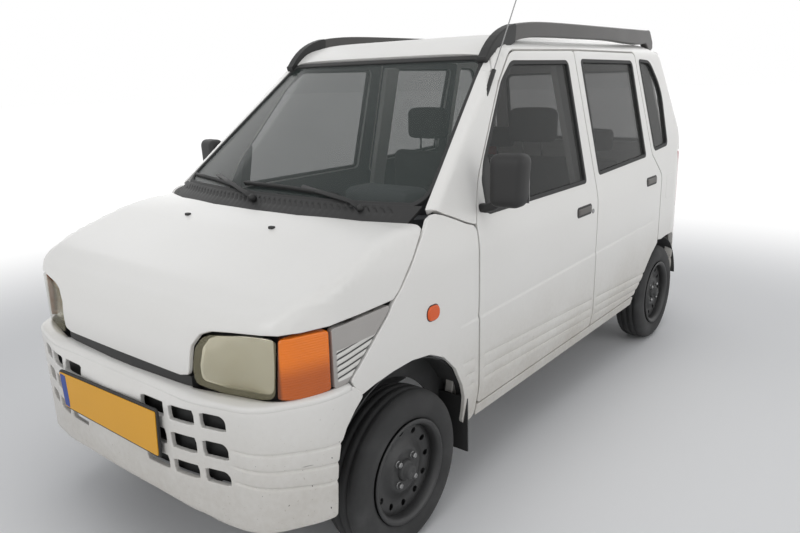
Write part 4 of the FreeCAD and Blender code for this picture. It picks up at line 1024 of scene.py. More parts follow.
def bumper_rows():
    out = []
    for (u0, z0), (u1, z1) in bumper_grooves:
        t = np.arange(u0, u1 + 30, 13.0)
        for off in (-8, -4.5, -2, 0, 2, 4.5, 8):
            for sign in (1, -1):
                out.append(np.stack([sign * t, z0 + (z1 - z0) * (t - u0) / (u1 - u0) + off], 1))
    return np.concatenate(out)


ARCH_SIDE = [(-1300, 674), (-1260, 630), (-1300, 598), (-1337, 560), (-1360, 520), (-1372, 468),
             (-1378, 413), (-1382, 350), (-1386, 304)]
ends = bumper_flat([(694, y, z) for y, z in ARCH_SIDE])
ends[0] = bumper_flat([(688, -1306, 676)])[0]
bumper_edge = np.concatenate([ends, (ends * (-1, 1))[::-1]])
SLOT_ROWS = ((597, 641), (512, 559), (434, 475))
SLOT_COLUMNS = ((170, 276, 4), (298, 392, 4), (414, 496, 22))
slots = []
for low_z, high_z in SLOT_ROWS:
    for x0, x1, corner in SLOT_COLUMNS:
        slot_line = rounded([(x0, low_z, 4), (x1, low_z, 4), (x1, high_z, corner), (x0, high_z, 4)])
        origin = np.stack([slot_line[:, 0], 0 * slot_line[:, 0] - 1300, slot_line[:, 1]], 1)
        at = bumper_flat(bumper_form.skin(origin, np.tile((0.0, -1, 0), (len(slot_line), 1))))
        slots += [at, at * (-1, 1)]
panel("front_bumper_skin", Surface(bumper_form, bumper_rays, bumper_relief), smooth_line(bumper_edge, 12),
      slots, 14, 4, 17, rows=bumper_rows(), finishes=("bumper", "black"), replaces=("front_bumper",))

# %% Headlamps, amber lamps and corner trims
lamp_rays, lamp_flat = round_front(330, -1280, 300, -1)
lamp_face = Surface(nose, lamp_rays)
HEADLAMP = [(364, -1583, 700), (360, -1584, 746), (370, -1577, 805), (395, -1569, 837), (424, -1563, 849),
            (492, -1550, 855), (582, -1527, 859), (621, -1503, 856), (609, -1512, 691), (561, -1533, 686),
            (453, -1561, 686)]
AMBER = [(624, -1500, 856), (655, -1448, 857), (680, -1370, 856), (680, -1372, 684), (661, -1425, 680),
         (639, -1480, 684), (613, -1508, 690)]
TRIM = [(-1362, 856), (-1116, 858), (-1141, 829), (-1194, 786), (-1264, 728), (-1312, 686), (-1362, 680)]
lamp_line = smooth_line(lamp_flat(HEADLAMP), 26)
panel("headlamp_lens", lamp_face, lamp_line, thickness=5, roll=5, step=12, finishes=("lamp_lens",),
      slot="lamp_lens", both=True, replaces=("headlamps",))
bowl_u = lamp_flat([(495, -1545, 775)])[0][0]


class Bowl(Surface):
    """The lamp's reflector: the lens's own face sunk 18 mm at the rim and 48 mm in the middle."""

    def frame(self, flat):
        here, normal, plain = super().frame(flat)
        away = ((flat[:, 0] - bowl_u) / 118) ** 2 + ((flat[:, 1] - 774) / 84) ** 2
        return here - normal * (18 + 30 * np.exp(-away * 1.6))[:, None], normal, plain


centre_line = lamp_line.mean(0)
panel("headlamp_reflector", Bowl(nose, lamp_rays), centre_line + (lamp_line - centre_line) * 0.94,
      thickness=6, roll=3, step=10, finishes=("reflector",), slot="lamp_lens", both=True)
panel("headlamp_box", lamp_face, centre_line + (lamp_line - centre_line) * 0.99, thickness=14, roll=3,
      step=30, lift=-66, finishes=("black",), slot="black_plastic", both=True)
panel("amber_lens", lamp_face, smooth_line(lamp_flat(AMBER), 10), thickness=30, roll=5, step=11,
      finishes=("amber",), slot="amber_lens", both=True, replaces=("indicators",))


def louvre_relief(flat):
    """Five slats between four grooves, slanting up to the rear, inside the trim's lower field. The trim's
    finish paints shade into these grooves.
    """
    y, z = flat.T
    field = smoothstep(z, 700, 706) * (1 - smoothstep(z, 784, 790)) * smoothstep(y, -1350, -1344)
    wave = (z - 0.13 * (y + 1280) - 700) / 18.0
    return field * (-5.0 * np.exp(-((wave - np.round(wave)) * 18.0 / 2.6) ** 2))


louvre_y = np.linspace(-1348, -1190, 22)
trim_rows = np.concatenate([np.stack([louvre_y, 700 + 18.0 * k + 0.13 * (louvre_y + 1280) + off], 1)
                            for k in range(6) for off in (-4, -2, 0, 2, 4)])
panel("corner_trim", Surface(nose, from_side, louvre_relief), smooth_line(TRIM, 10), thickness=20, roll=3,
      step=11, rows=trim_rows, finishes=("grey_trim",), slot="grey_trim", both=True,
      replaces=("corner_trims",))
print("bumper and lamps made")

# %% [markdown]
# ## Simple shapes
# Small parts need only four kinds of surface: a turned ring, a tube along a path, a softened block and a
# flat pressing.
# Each is one function of two parameters, so all of its points are worked out together.

# %% Simple shapes
class Plane(Surface):
    """A flat surface through a point, spanned by two directions; its normal is u x v."""

    def __init__(self, origin, u, v):
        self.origin, self.u, self.v = (np.array(a, float) for a in (origin, u, v))

    def points(self, flat):
        return self.origin + flat[:, :1] * self.u + flat[:, 1:] * self.v

    def frame(self, flat):
        normal = np.tile(np.cross(self.u, self.v), (len(flat), 1))
        return self.points(flat), normal, normal


def both_sides(name, points, faces, finishes, body="body", slot=None, replaces=(), smooth=True):
    """The left piece and its mirror image. A body or node name that ends in _ gets the side."""
    for side, sign in SIDES:
        nodes = [n + side if n.endswith("_") else n for n in replaces if sign > 0 or n.endswith("_")]
        make_mesh(f"{name}_{side}", points, faces, finishes, body + side if body.endswith("_") else body,
                  slot, nodes, mirror=sign < 0, smooth=smooth)


def grid_faces(rows, columns, wrap_rows=False, wrap_columns=True):
    """Quads of a grid of points, closed on itself along either way."""
    r, c = np.meshgrid(np.arange(rows if wrap_rows else rows - 1),
                       np.arange(columns if wrap_columns else columns - 1), indexing="ij")
    r, c = r.ravel(), c.ravel()
    r1, c1 = (r + 1) % rows, (c + 1) % columns
    return np.stack([r * columns + c, r1 * columns + c, r1 * columns + c1, r * columns + c1], 1)


def turned(profile, centre, count=96, axis=(1, 0, 0)):
    """A closed profile of (along, radius) carried round an axis: point = centre + a along + r (cos t,
    sin t)."""
    profile, axis = np.array(profile, float), np.array(axis, float) / np.linalg.norm(axis)
    side = np.cross(axis, (0, 0, 1.0) if abs(axis[2]) < 0.9 else (0, 1.0, 0))
    side /= np.linalg.norm(side)
    t = np.linspace(0, 2 * math.pi, count, endpoint=False)
    round_way = np.cos(t)[:, None] * side + np.sin(t)[:, None] * np.cross(axis, side)
    spine = np.array(centre, float) + profile[None, :, :1] * axis
    points = spine + profile[None, :, 1:] * round_way[:, None]
    return points.reshape(-1, 3), grid_faces(count, len(profile), True)[:, ::-1]


def along(path, section, up=(0, 0, 1)):
    """A closed section (a, b) carried along a path: point = path + a side + b up, with both ends closed
    by fans."""
    path, section = np.array(path, float), np.array(section, float)
    forward = np.gradient(path, axis=0)
    forward /= np.linalg.norm(forward, axis=1)[:, None]
    side = np.cross(forward, up)
    side /= np.linalg.norm(side, axis=1)[:, None]
    over = np.cross(side, forward)
    scale = section if section.ndim == 3 else np.tile(section, (len(path), 1, 1))
    points = path[:, None] + scale[:, :, :1] * side[:, None] + scale[:, :, 1:] * over[:, None]
    count = scale.shape[1]
    flat = np.concatenate([points.reshape(-1, 3), path[:1], path[-1:]])
    base, ring = len(path) * count, np.arange(count)
    start = np.stack([np.full(count, base), ring, (ring + 1) % count], 1)
    end = np.stack([np.full(count, base + 1), (len(path) - 1) * count + (ring + 1) % count,
                    (len(path) - 1) * count + ring], 1)
    return flat, [grid_faces(len(path), count)[:, ::-1], np.concatenate([start, end])[:, ::-1]]


def oval(width, height, count=16, power=1.0):
    """A section: x = w cos t, y = h sin t, with the corners filled out where the power is below 1."""
    t = np.linspace(0, 2 * math.pi, count, endpoint=False)
    c, s = np.cos(t), np.sin(t)
    return np.stack([width / 2 * np.sign(c) * np.abs(c) ** power,
                     height / 2 * np.sign(s) * np.abs(s) ** power], 1)


def soft_block(low, high, radius, grid=9):
    """A box with round edges: each point lies one radius from the nearest point of a smaller inner box."""
    low, high = np.array(low, float), np.array(high, float)
    half, middle = (high - low) / 2, (high + low) / 2
    t = np.linspace(-1, 1, grid)
    t = np.sign(t) * np.abs(t) ** 0.6
    a, b = (m.ravel() for m in np.meshgrid(t, t, indexing="ij"))
    one, points, faces = np.ones_like(a), [], []
    for axis in range(3):
        for sign in (1, -1):
            parts = [None, None, None]
            parts[axis], parts[(axis + 1) % 3], parts[(axis + 2) % 3] = one * sign, a * sign, b
            box_point = np.stack(parts, 1) * half
            inner = np.clip(box_point, -(half - radius), half - radius)
            away = box_point - inner
            away /= np.linalg.norm(away, axis=1)[:, None] + 1e-9
            faces.append(grid_faces(grid, grid, False, False) + len(points) * grid * grid)
            points.append(inner + away * radius + middle)
    return np.concatenate(points), np.concatenate(faces)


def offset(line, distance):
    """A closed outline moved outwards (or inwards, if negative)."""
    tangent = np.roll(line, -1, 0) - np.roll(line, 1, 0)
    area = (line[:, 0] * np.roll(line[:, 1], -1) - np.roll(line[:, 0], -1) * line[:, 1]).sum()
    outward = np.stack([tangent[:, 1], -tangent[:, 0]], 1) / np.linalg.norm(tangent, axis=1)[:, None]
    return line + outward * distance * np.sign(area)


def bar(path, width, height, power=0.6, up=(0, 0, 1)):
    return along(path, oval(width, height, 16, power), up)


finish["tyre"] = plastic("tyre", grey(0.028), 0.78, 0.0004, 0.9, 300.0)
finish["wheel"] = plastic("wheel_enamel", grey(0.030), 0.42, 0.0001, 0.6)
steel = finish["steel"] = Finish("bright_steel", Metallic=0.85)
steel.set(Base_Color=steel.mix(steel.noise(30.0), grey(0.34), grey(0.20)),
          Roughness=steel.noise(60.0) * 0.2 + 0.28)
finish["handle"] = plastic("handle_grey", grey(0.075, 1.10), 0.38, 0.00005, 0.1)
finish["chassis"] = plastic("chassis_paint", grey(0.045), 0.6, 0.0003, 0.8, 200.0)
finish["under"] = plastic("underbody_paint", grey(0.030), 0.7, 0.0004, 0.8, 150.0)
finish["rail"] = plastic("rail_satin", grey(0.06, 1.05), 0.34, 0.00005, 0.15)
finish["exhaust"] = plastic("exhaust_steel", grey(0.20, 1.06), 0.5, 0.0003, 0.7, 150.0)
finish["plate"] = plastic("plate_yellow", (0.74, 0.36, 0.015, 1), 0.42, 0.00005, 0.25)
finish["blue"] = plastic("plate_blue", (0.02, 0.06, 0.30, 1), 0.42, 0.00005, 0.1)

# %% [markdown]
# ## Seals, trim and small parts of the sides
# Rubber lips cover the joint between glass and frame. Each is a thin ring on the door's own surface.
# The mirror stands on a black triangle in the window's corner, and the handles lie in shallow dark cups.

# %% Seals and glass
for name, line, body in (("front", FRONT_WINDOW, "door_front"), ("rear", REAR_WINDOW, "door_rear")):
    fine = filled(rounded(line), 9)
    panel(f"window_seal_{name}", side_face, offset(fine, 3), [offset(fine, -13)], 12, 2, 12, lift=2.0,
          finishes=("rubber",), body=body, slot="black_plastic", both=True)
quarter_line = filled(rounded(QUARTER_WINDOW), 9)
panel("window_seal_quarter", Surface(cabin, from_side), offset(quarter_line, 3),
      [offset(quarter_line, -13)], 12, 2, 12, lift=2.0, finishes=("rubber",), slot="black_plastic",
      both=True)
rear_line_fine = filled(rounded(REAR_GLASS), 9)
panel("window_seal_tailgate", Surface(cabin, from_rear), offset(rear_line_fine, 3),
      [offset(rear_line_fine, -16)], 12, 2, 14, lift=2.0, finishes=("rubber",), body="tailgate",
      slot="black_plastic")


def from_front(u, v):
    zero = np.zeros_like(u)
    return np.stack([u, zero - 100, v], 1), np.stack([zero, zero - 1, zero], 1)


SCREEN = [(-634, 1096, 50), (634, 1096, 50), (504, 1567, 56), (-504, 1567, 56)]
screen_line = filled(rounded(SCREEN), 16)
panel("windscreen_surround", Surface(cabin, from_front), screen_line, [offset(screen_line, -15)], 14, 3, 18,
      lift=-2.0, finishes=("rubber",), slot="black_plastic")

# %% Mirrors and sail triangles
SAIL = [(-568, 1030, 4), (-565, 1150, 60), (-512, 1216, 10), (-496, 1216, 6), (-500, 1030, 4)]
panel("mirror_sail", side_face, rounded(SAIL), thickness=14, roll=3, step=12, lift=1.5, finishes=("black",),
      body="door_front", slot="black_plastic", both=True)
points, faces = soft_block((720, -640, 1068), (838, -562, 1246), 30, 13)
swell = (points[:, 2] - 1149) / 85
points[:, 0] += 6 * swell * (points[:, 0] > 780)
points[:, 1] += 10 * (points[:, 0] - 780) / 60
both_sides("mirror_head", points, faces, ("black",), "door_front_", "black_plastic", ("door_mirror_",))
both_sides("mirror_foot", *bar([(664, -592, 1056), (690, -594, 1056), (716, -596, 1066), (742, -597, 1086)],
                               40, 30, 0.6, (0, 0, 1)), ("black",), "door_front_", "black_plastic")
glass_points, glass_faces = soft_block((732, -557, 1078), (828, -553, 1222), 1.9, 7)
both_sides("mirror_glass", glass_points, glass_faces, ("steel",), "door_front_", "black_plastic")

# %% Handles, locks, flap and repeaters
for name, y, z, body in (("front", 200, 914, "door_front"), ("rear", 1030, 934, "door_rear")):
    cup = rounded([(y - 74, z - 22, 16), (y + 74, z - 22, 16), (y + 74, z + 24, 16), (y - 74, z + 24, 16)])
    panel(f"handle_cup_{name}", side_face, cup, thickness=4, roll=1.5, step=12, lift=1.2,
          finishes=("black",), body=body, slot="black_plastic", both=True)
    points, faces = soft_block((682, y - 66, z - 13), (700, y + 66, z + 15), 6, 9)
    points[:, 0] -= 1 + 0.04 * (z - 900)
    both_sides(f"handle_bar_{name}", points, faces, ("handle",), body + "_", "black_plastic")
lock_at = side_points([(288, 900)])[0]
both_sides("door_lock", *turned([(0, 11), (3, 10), (3.5, 7), (2.5, 6), (2.5, 0.1), (-3, 0.1), (-3, 11)],
                                lock_at, 24), ("steel",), "door_front_", "black_plastic")
flap = rounded([(1262, 806, 18), (1384, 806, 18), (1384, 942, 18), (1262, 942, 18)])
panel("fuel_flap", Surface(cabin, from_side), flap, thickness=4, roll=1.6, step=14, lift=0.9,
      slot="paint_white")
REPEATER = [(-950, 752, 22), (-888, 750, 22), (-886, 799, 22), (-948, 801, 22)]
panel("repeater_rim", wing, offset(filled(rounded(REPEATER), 5), 3), thickness=6, roll=2, step=10, lift=1.5,
      finishes=("black",), slot="black_plastic", both=True)
finish["repeater"] = plastic("repeater_lens", (0.72, 0.10, 0.01, 1), 0.16, 0.0003, 0.1, 300.0)
panel("repeater_lens", wing, rounded(REPEATER), thickness=8, roll=5, step=9, lift=7, finishes=("repeater",),
      slot="amber_lens", both=True)

# %% Roof rails and aerial
rail_y = np.linspace(-332, 1300, 60)
rail_top = np.stack([rail_y, 1696 - 140 * np.exp(-(rail_y + 332) / 110)], 1)
under_y = np.linspace(1210, -244, 50)
under_z = 1636 - 84 * np.exp(-(under_y + 240) / 90) - 14 * smoothstep(under_y, 700, 1210)
rail_under = np.stack([under_y, under_z], 1)
rail_end = rounded([(1340, 1699, 30), (1392, 1636, 30), (1396, 1590, 8), (1336, 1590, 8), (1290, 1628, 20)],
                   closed=False)
rail_line = smooth_line(np.concatenate([rail_top, rail_end, rail_under]), 40)
rail_plane = Plane((526, 0, 0), (0, 1, 0), (0, 0, 1))
panel("roof_rail", rail_plane, rail_line, thickness=34, roll=7, step=18, finishes=("rail",),
      slot="rail_grey", both=True, replaces=("roof_rails",))
foot_line = np.concatenate([rail_top[rail_top[:, 0] < -96] + (-3, 3),
                            rail_under[rail_under[:, 0] < -106] + (3, -4),
                            [(-262, 1530), (-322, 1520), (-348, 1552)]])
panel("rail_foot", rail_plane, smooth_line(foot_line, 12), thickness=38, roll=6, step=12, lift=2,
      finishes=("black",), slot="black_plastic", both=True)
aerial_way = np.array([-13, 188, 263]) / np.linalg.norm([-13, 188, 263])
aerial_foot = np.array([577, -400, 1455.0])
holder = aerial_foot + aerial_way * np.array([[-46], [-40], [60], [66]])
make_mesh("aerial_holder", *along(holder, oval(17, 17, 16)), ("black",), slot="black_plastic",
          replaces=("aerial",))
rod = aerial_foot + aerial_way * np.linspace(0, 610, 8)[:, None]
make_mesh("aerial_rod", *along(rod, oval(4.4, 4.4, 10)), ("steel",), slot="black_plastic")
print("small parts of the sides made")

# %% [markdown]
# ## Cowl and wipers
# The black panel below the windscreen has slanted louvres and carries two wipers.

# %% Cowl
def cowl_relief(flat):
    """Slanted louvres: a wave 26 mm long, faded out near the panel's edges."""
    x, z = flat.T
    wave = 0.5 + 0.5 * np.cos((x + (z - 1070) * 1.4) * 2 * math.pi / 26.0)
    field = smoothstep(z, 1076, 1080) * (1 - smoothstep(z, 1090, 1094))
    field = field * (1 - smoothstep(np.abs(x), 560, 575))
    return -6.0 * wave ** 2 * field


edge_x = np.linspace(-606, 606, 61)
edge_y = np.interp(np.abs(edge_x), [0, 224, 474, 560, 606], [-1028, -1022, -984, -950, -930])
cowl_low = top_points(np.stack([edge_x, edge_y], 1))[:, [0, 2]]
cowl_high = np.stack([np.linspace(618, -618, 41), np.full(41, 1101.0)], 1)
slat_x = np.arange(-560, 560, 6.5)
cowl_rows = np.concatenate([np.stack([slat_x - (z - 1070) * 1.4, 0 * slat_x + z], 1)
                            for z in (1077, 1081, 1085, 1089, 1093)])
panel("cowl_panel", Surface(cabin, from_front, cowl_relief), np.concatenate([cowl_low, cowl_high]),
      thickness=12, roll=1, step=16, rows=cowl_rows, finishes=("black",), slot="black_plastic",
      replaces=("cowl_and_wipers",))
for name, pivot, elbow, tip, blade in (
        ("near", (425, -938, 1084), (380, -940, 1108), (136, -918, 1136),
         ((-166, -924, 1131), (308, -922, 1118))),
        ("far", (-50, -988, 1090), (-90, -984, 1106), (-388, -876, 1141),
         ((-580, -842, 1128), (-161, -948, 1112)))):
    cap = [(-14, 0.1), (-14, 13), (8, 12), (16, 8), (18, 0.1)]
    make_mesh(f"wiper_pivot_{name}", *turned(cap, pivot, 24, (0, -0.61, 0.79)), ("black",),
              slot="black_plastic")
    make_mesh(f"wiper_arm_{name}", *bar([pivot, elbow, (np.array(elbow) * 0.4 + np.array(tip) * 0.6), tip],
                                        16, 9, 0.6, tuple(screen_out)), ("black",), slot="black_plastic")
    ends_blade = np.array(blade, float)
    mid = ends_blade.mean(0) + screen_out * 6
    bow = [ends_blade[0], ends_blade[0] * 0.5 + mid * 0.5, mid, ends_blade[1] * 0.5 + mid * 0.5,
           ends_blade[1]]
    make_mesh(f"wiper_blade_{name}", *bar(bow, 12, 18, 0.7, tuple(screen_out)), ("rubber",),
              slot="black_plastic")
for index, at in enumerate(((-236, -1139, 1038), (217, -1141, 1038))):
    place = nose.skin(np.array([[at[0], at[1], 700.0]]), np.array([[0, 0, 1.0]]))[0]
    points, faces = soft_block(place - (11, 8, 3), place + (11, 8, 7), 4, 7)
    make_mesh(f"washer_nozzle_{index}", points, faces, ("black",), "bonnet", "black_plastic")
print("cowl and wipers made")

# %% [markdown]
# ## Plates, grille and wheel houses
# The plates are blank, each in a thin black holder. Dark linings close the gaps through which the road
# would show.

# %% Plates and linings
FRONT_PLATE = [(-282, 602, 6), (267, 617, 6), (256, 477, 6), (-274, 483, 6)]
front_plane = Plane((0, -1656, 0), (1, 0, 0), (0, 0, 1))
rear_plane = Plane((0, 1656, 0), (-1, 0, 0), (0, 0, 1))
panel("plate_holder_front", front_plane, offset(filled(rounded(FRONT_PLATE), 12), 7), thickness=7, roll=2,
      step=40, finishes=("black",), slot="black_plastic", replaces=("front_plate",))
panel("plate_front", front_plane, rounded(FRONT_PLATE), thickness=3, roll=1.2, step=40, lift=3,
      finishes=("plate",), slot="plate_yellow")
panel("plate_strip", front_plane, rounded([(-279, 598, 3), (-244, 599, 3), (-240, 486, 3), (-271, 487, 3)]),
      thickness=1, roll=0.4, step=30, lift=3.6, finishes=("blue",), slot="plate_yellow")
REAR_PLATE = [(-260, 562, 6), (260, 562, 6), (260, 674, 6), (-260, 674, 6)]
panel("plate_holder_rear", rear_plane, offset(filled(rounded(REAR_PLATE), 12), 6), thickness=16, roll=2,
      step=40, lift=-4, finishes=("black",), body="tailgate", slot="black_plastic")
panel("plate_rear", rear_plane, rounded(REAR_PLATE), thickness=3, roll=1.2, step=40, lift=-1,
      finishes=("plate",), slot="plate_yellow", body="tailgate", replaces=("rear_plate",))
panel("grille_lining", lamp_face, smooth_line([(-640, 648), (640, 648), (640, 862), (-640, 862)], 10),
      thickness=4, roll=1, step=40, lift=-74, finishes=("black",), slot="black_plastic")
for end, centre_y, reach in (("front", -1044, 384), ("rear", 1290, 318)):
    t = np.linspace(0.12, math.pi - 0.12, 40)
    arc = np.stack([0 * t + 560, centre_y + reach * np.cos(t), 267 + reach * 0.96 * np.sin(t)], 1)
    inward = 300 - reach
    section = np.array([(inward, -2), (5, -2), (5, 104), (1, 104), (1, 2), (inward, 2)])
    both_sides(f"wheel_house_{end}", *along(arc, section, (1, 0, 0)), ("under",), slot="underbody_black",
               smooth=False)
print("plates and linings made")

# %% [markdown]
# ## Wheels
# A steel wheel is a pressed disc with twelve small holes in a rolled rim, dished by its radius.
# The tyre is a profile turned about the axle, with the grooves that run round its tread.

# %% Wheels
class Dish(Surface):
    """A disc seen along x: x = base + dish(r), where r is the distance from the axle."""

    def __init__(self, y, z, profile):
        self.centre, self.radii, self.depths = np.array([y, z], float), *np.array(profile, float).T

    def depth(self, flat):
        return np.interp(np.linalg.norm(flat - self.centre, axis=1), self.radii, self.depths)

    def points(self, flat):
        return np.column_stack([self.depth(flat), flat])

    def frame(self, flat):
        away = flat - self.centre
        r = np.linalg.norm(away, axis=1)
        rise = (np.interp(r + 2, self.radii, self.depths) - np.interp(r - 2, self.radii, self.depths)) / 4
        normal = np.column_stack([np.ones(len(flat)), -away / r[:, None] * rise[:, None]])
        normal /= np.linalg.norm(normal, axis=1)[:, None]
        return self.points(flat), normal, normal


def circle(y, z, radius, count=32):
    t = np.linspace(0, 2 * math.pi, count, endpoint=False)
    return np.stack([y + radius * np.cos(t), z + radius * np.sin(t)], 1)


smooth_r = np.linspace(30, 160, 80)
dish = np.interp(smooth_r, [30, 40, 66, 72, 78, 98, 112, 126, 146, 158],
                 [655, 655, 656, 659, 652, 641, 640, 644, 645, 640])
dish = np.convolve(np.pad(dish, 3, "edge"), np.ones(7) / 7, "valid")
RIM_PROFILE = [(638, 157), (646, 154), (672, 155), (679, 162), (682, 170), (679, 175), (675, 173),
               (672, 165), (660, 160), (552, 160), (541, 165), (538, 174), (533, 175), (531, 168),
               (536, 158), (546, 152), (638, 152)]
TYRE_SIDE = [(60, 171), (66, 178), (72, 192), (75, 210), (74, 228), (70, 243), (65, 252), (58, 259),
             (47, 264), (36, 266), (34.5, 260), (29, 260), (27.5, 267), (4, 267.5), (2.5, 261)]
TYRE_PROFILE = TYRE_SIDE + [(-a, r) for a, r in TYRE_SIDE[::-1]]
for end, y0 in (("front", -1039.0), ("rear", 1261.0)):
    disc = Dish(y0, 267, np.stack([smooth_r, dish], 1))
    holes = [circle(y0, 267, 36, 40)[::-1]]
    holes += [circle(y0 + 126 * math.cos(a), 267 + 126 * math.sin(a), 10.5, 20)
              for a in np.arange(12) * math.pi / 6]
    panel(f"wheel_disc_{end}", disc, circle(y0, 267, 157, 120), holes, 5, 1.5, 9, finishes=("wheel",),
          body=f"wheel_{end}", slot="wheel_black", replaces=(f"wheel_{end}_",), both=True)
    both_sides(f"wheel_rim_{end}", *turned(RIM_PROFILE, (0, y0, 267), 120), ("wheel",), f"wheel_{end}_",
               "wheel_black")
    both_sides(f"tyre_{end}", *turned(np.array(TYRE_PROFILE) + (607, 0), (0, y0, 267), 144), ("tyre",),
               f"wheel_{end}_", "tyre", (f"tyre_{end}_",))
    both_sides(f"hub_{end}", *turned([(630, 22), (630, 36), (662, 35), (666, 31), (668, 24), (682, 23),
                                      (685, 18), (685, 0.1), (640, 0.1)], (0, y0, 267), 48), ("chassis",),
               f"wheel_{end}_", "wheel_black")
    for index in range(4):
        a = math.pi / 4 + index * math.pi / 2
        at = (0, y0 + 53 * math.cos(a), 267 + 53 * math.sin(a))
        both_sides(f"wheel_nut_{end}_{index}",
                   *turned([(652, 0.1), (652, 12), (657, 12), (658, 10), (668, 10), (671, 7), (671, 0.1)],
                           at, 6), ("steel",), f"wheel_{end}_", "wheel_black", smooth=False)
print("wheels made")

# %% [markdown]
# ## The cabin
# Seats are foam under cloth: a closed pad swells until its skin is tight, so the pads are blown up by a
# short cloth simulation.
# Through tinted glass the headrests and seat backs are what gives the cabin its depth.

# %% Cloth and glass
def fabric():
    """Woven seat cloth: two crossed waves 3 mm apart, in two close greys."""
    f = Finish("seat_cloth", Roughness=0.9)
    x, y, z = f.axes()
    weave = ((x * 2100.0).math("SINE") + ((y + z) * 2100.0).math("SINE")) * 0.5
    cloud = f.noise(8.0, 3.0)
    f.set(Base_Color=f.mix((cloud * 0.7 + weave * 0.3).step(0.1, 0.8), grey(0.050), grey(0.105)))
    return f.bump(weave, 0.0003, 0.3)


def tinted(name, colour, cover):
    """Window glass: its alpha is how much of the view its tint and haze hide."""
    f = Finish(name, Roughness=0.08, IOR=1.4)
    cloud = f.noise(2.5, 2.0)
    return f.set(Base_Color=f.mix(cloud, colour, tuple(c * 1.4 for c in colour[:3]) + (1,)),
                 Alpha=cloud * 0.05 + cover)


finish["cloth"] = fabric()
finish["screen_glass"] = tinted("screen_glass", (0.050, 0.062, 0.058, 1), 0.30)
finish["side_glass"] = tinted("side_glass", (0.014, 0.016, 0.015, 1), 0.45)
panel("windscreen_pane", Surface(cabin, from_front), offset(screen_line, -6), thickness=5, roll=1, step=24,
      lift=-7, finishes=("screen_glass",), slot="glass", replaces=("windscreen",))


SWELL_VOXEL, SWELL_CAP, SWELL_FRAMES, SWELL_PRESSURE = 0.013, 0.014, 20, 4.0


def swell(pad):
    """Blows the pad up with a cloth that has inner pressure and no weight. No point moves past the cap."""
    bpy.context.view_layer.objects.active = pad
    pad.data.remesh_voxel_size = SWELL_VOXEL
    bpy.ops.object.voxel_remesh()
    start = np.empty(len(pad.data.vertices) * 3)
    pad.data.vertices.foreach_get("co", start)
    cloth = pad.modifiers.new("cloth", "CLOTH")
    cloth.settings.use_pressure, cloth.settings.uniform_pressure_force = True, SWELL_PRESSURE
    cloth.settings.effector_weights.gravity = 0
    for moment in range(SWELL_FRAMES):
        scene.frame_set(moment + 1)
    shaped = pad.evaluated_get(bpy.context.evaluated_depsgraph_get())
    end = np.empty(len(start))
    shaped.data.vertices.foreach_get("co", end)
    pad.modifiers.remove(cloth)
    scene.frame_set(1)
    move = (end - start).reshape(-1, 3)
    far = np.linalg.norm(move, axis=1)[:, None]
    held = start.reshape(-1, 3) + move * np.minimum(1, SWELL_CAP / (far + 1e-9))
    pad.data.vertices.foreach_set("co", held.ravel())
    pad.data.polygons.foreach_set("use_smooth", np.ones(len(pad.data.polygons), bool))
    pad.data.update()


def pad(name, low, high, radius, tilt, pivot, crown, replaces=(), channels=()):
    """A padded block, tilted about x through a pivot (y, z), crowned in the middle and pulled in along
    its channels."""
    points, faces = soft_block(low, high, radius, 25)
    low, high = np.array(low, float), np.array(high, float)
    t = (points - low) / (high - low) * 2 - 1
    points[:, 2] += crown * np.clip(t[:, 2], 0, 1) * (1 - t[:, 0] ** 2) * (1 - t[:, 1] ** 2)
    for place in channels:
        points[:, 2] -= 9 * np.exp(-((t[:, 0] - place) / 0.05) ** 2) * (t[:, 2] > 0.3)
    c, s = math.cos(tilt), math.sin(tilt)
    y, z = points[:, 1] - pivot[0], points[:, 2] - pivot[1]
    points[:, 1], points[:, 2] = pivot[0] + c * y - s * z, pivot[1] + s * y + c * z
    made = make_mesh(name, points, faces, ("cloth",), slot="fabric_grey", replaces=replaces)
    merged = made.modifiers.new("weld", "WELD")
    merged.merge_threshold = 0.0005
    bpy.context.view_layer.objects.active = made
    bpy.ops.object.modifier_apply(modifier="weld")
    swell(made)
    smooth = made.modifiers.new("smooth", "SUBSURF")
    smooth.levels = smooth.render_levels = 1
    return made


# %% Bumper shelf
# The bumper's top runs back to the lamps' lower edges, and between the lamps it ends in the grille's slot.
shelf_u = np.linspace(-bumper_flat([(688, -1310, 676)])[0][0], bumper_flat([(688, -1310, 676)])[0][0], 141)
shelf_front = []
for z, proud in ((660, -4), (664, 0.6), (669, 0.6), (674, 0.6), (678, 0.5), (680.4, -1)):
    origin, way = bumper_rays(shelf_u, np.full(len(shelf_u), float(z)))
    shelf_front.append(bumper_form.skin(origin, way) + way * proud)
origin, way = bumper_rays(shelf_u, np.full(len(shelf_u), 684.0))
inner = nose.skin(origin, way) - way * (6 + 16 * (1 - smoothstep(np.abs(shelf_u), 335, 350)))[:, None]
middle = (shelf_front[-1] + inner) / 2
middle[:, 2] = 683
shelf = shelf_front + [middle, inner, inner - (0, 0, 4), middle - (0, 0, 4),
                       shelf_front[-1] - way * 3 - (0, 0, 4)]
shelf_points = np.stack(shelf, 1)
shelf_count, shelf_ring = shelf_points.shape[:2]
shelf_end = shelf_ring * shelf_count - 1
caps = np.array([range(shelf_ring), range(shelf_end, shelf_end - shelf_ring, -1)])
make_mesh("bumper_shelf", shelf_points.reshape(-1, 3), [grid_faces(shelf_count, shelf_ring), caps],
          ("bumper",), slot="paint_white")

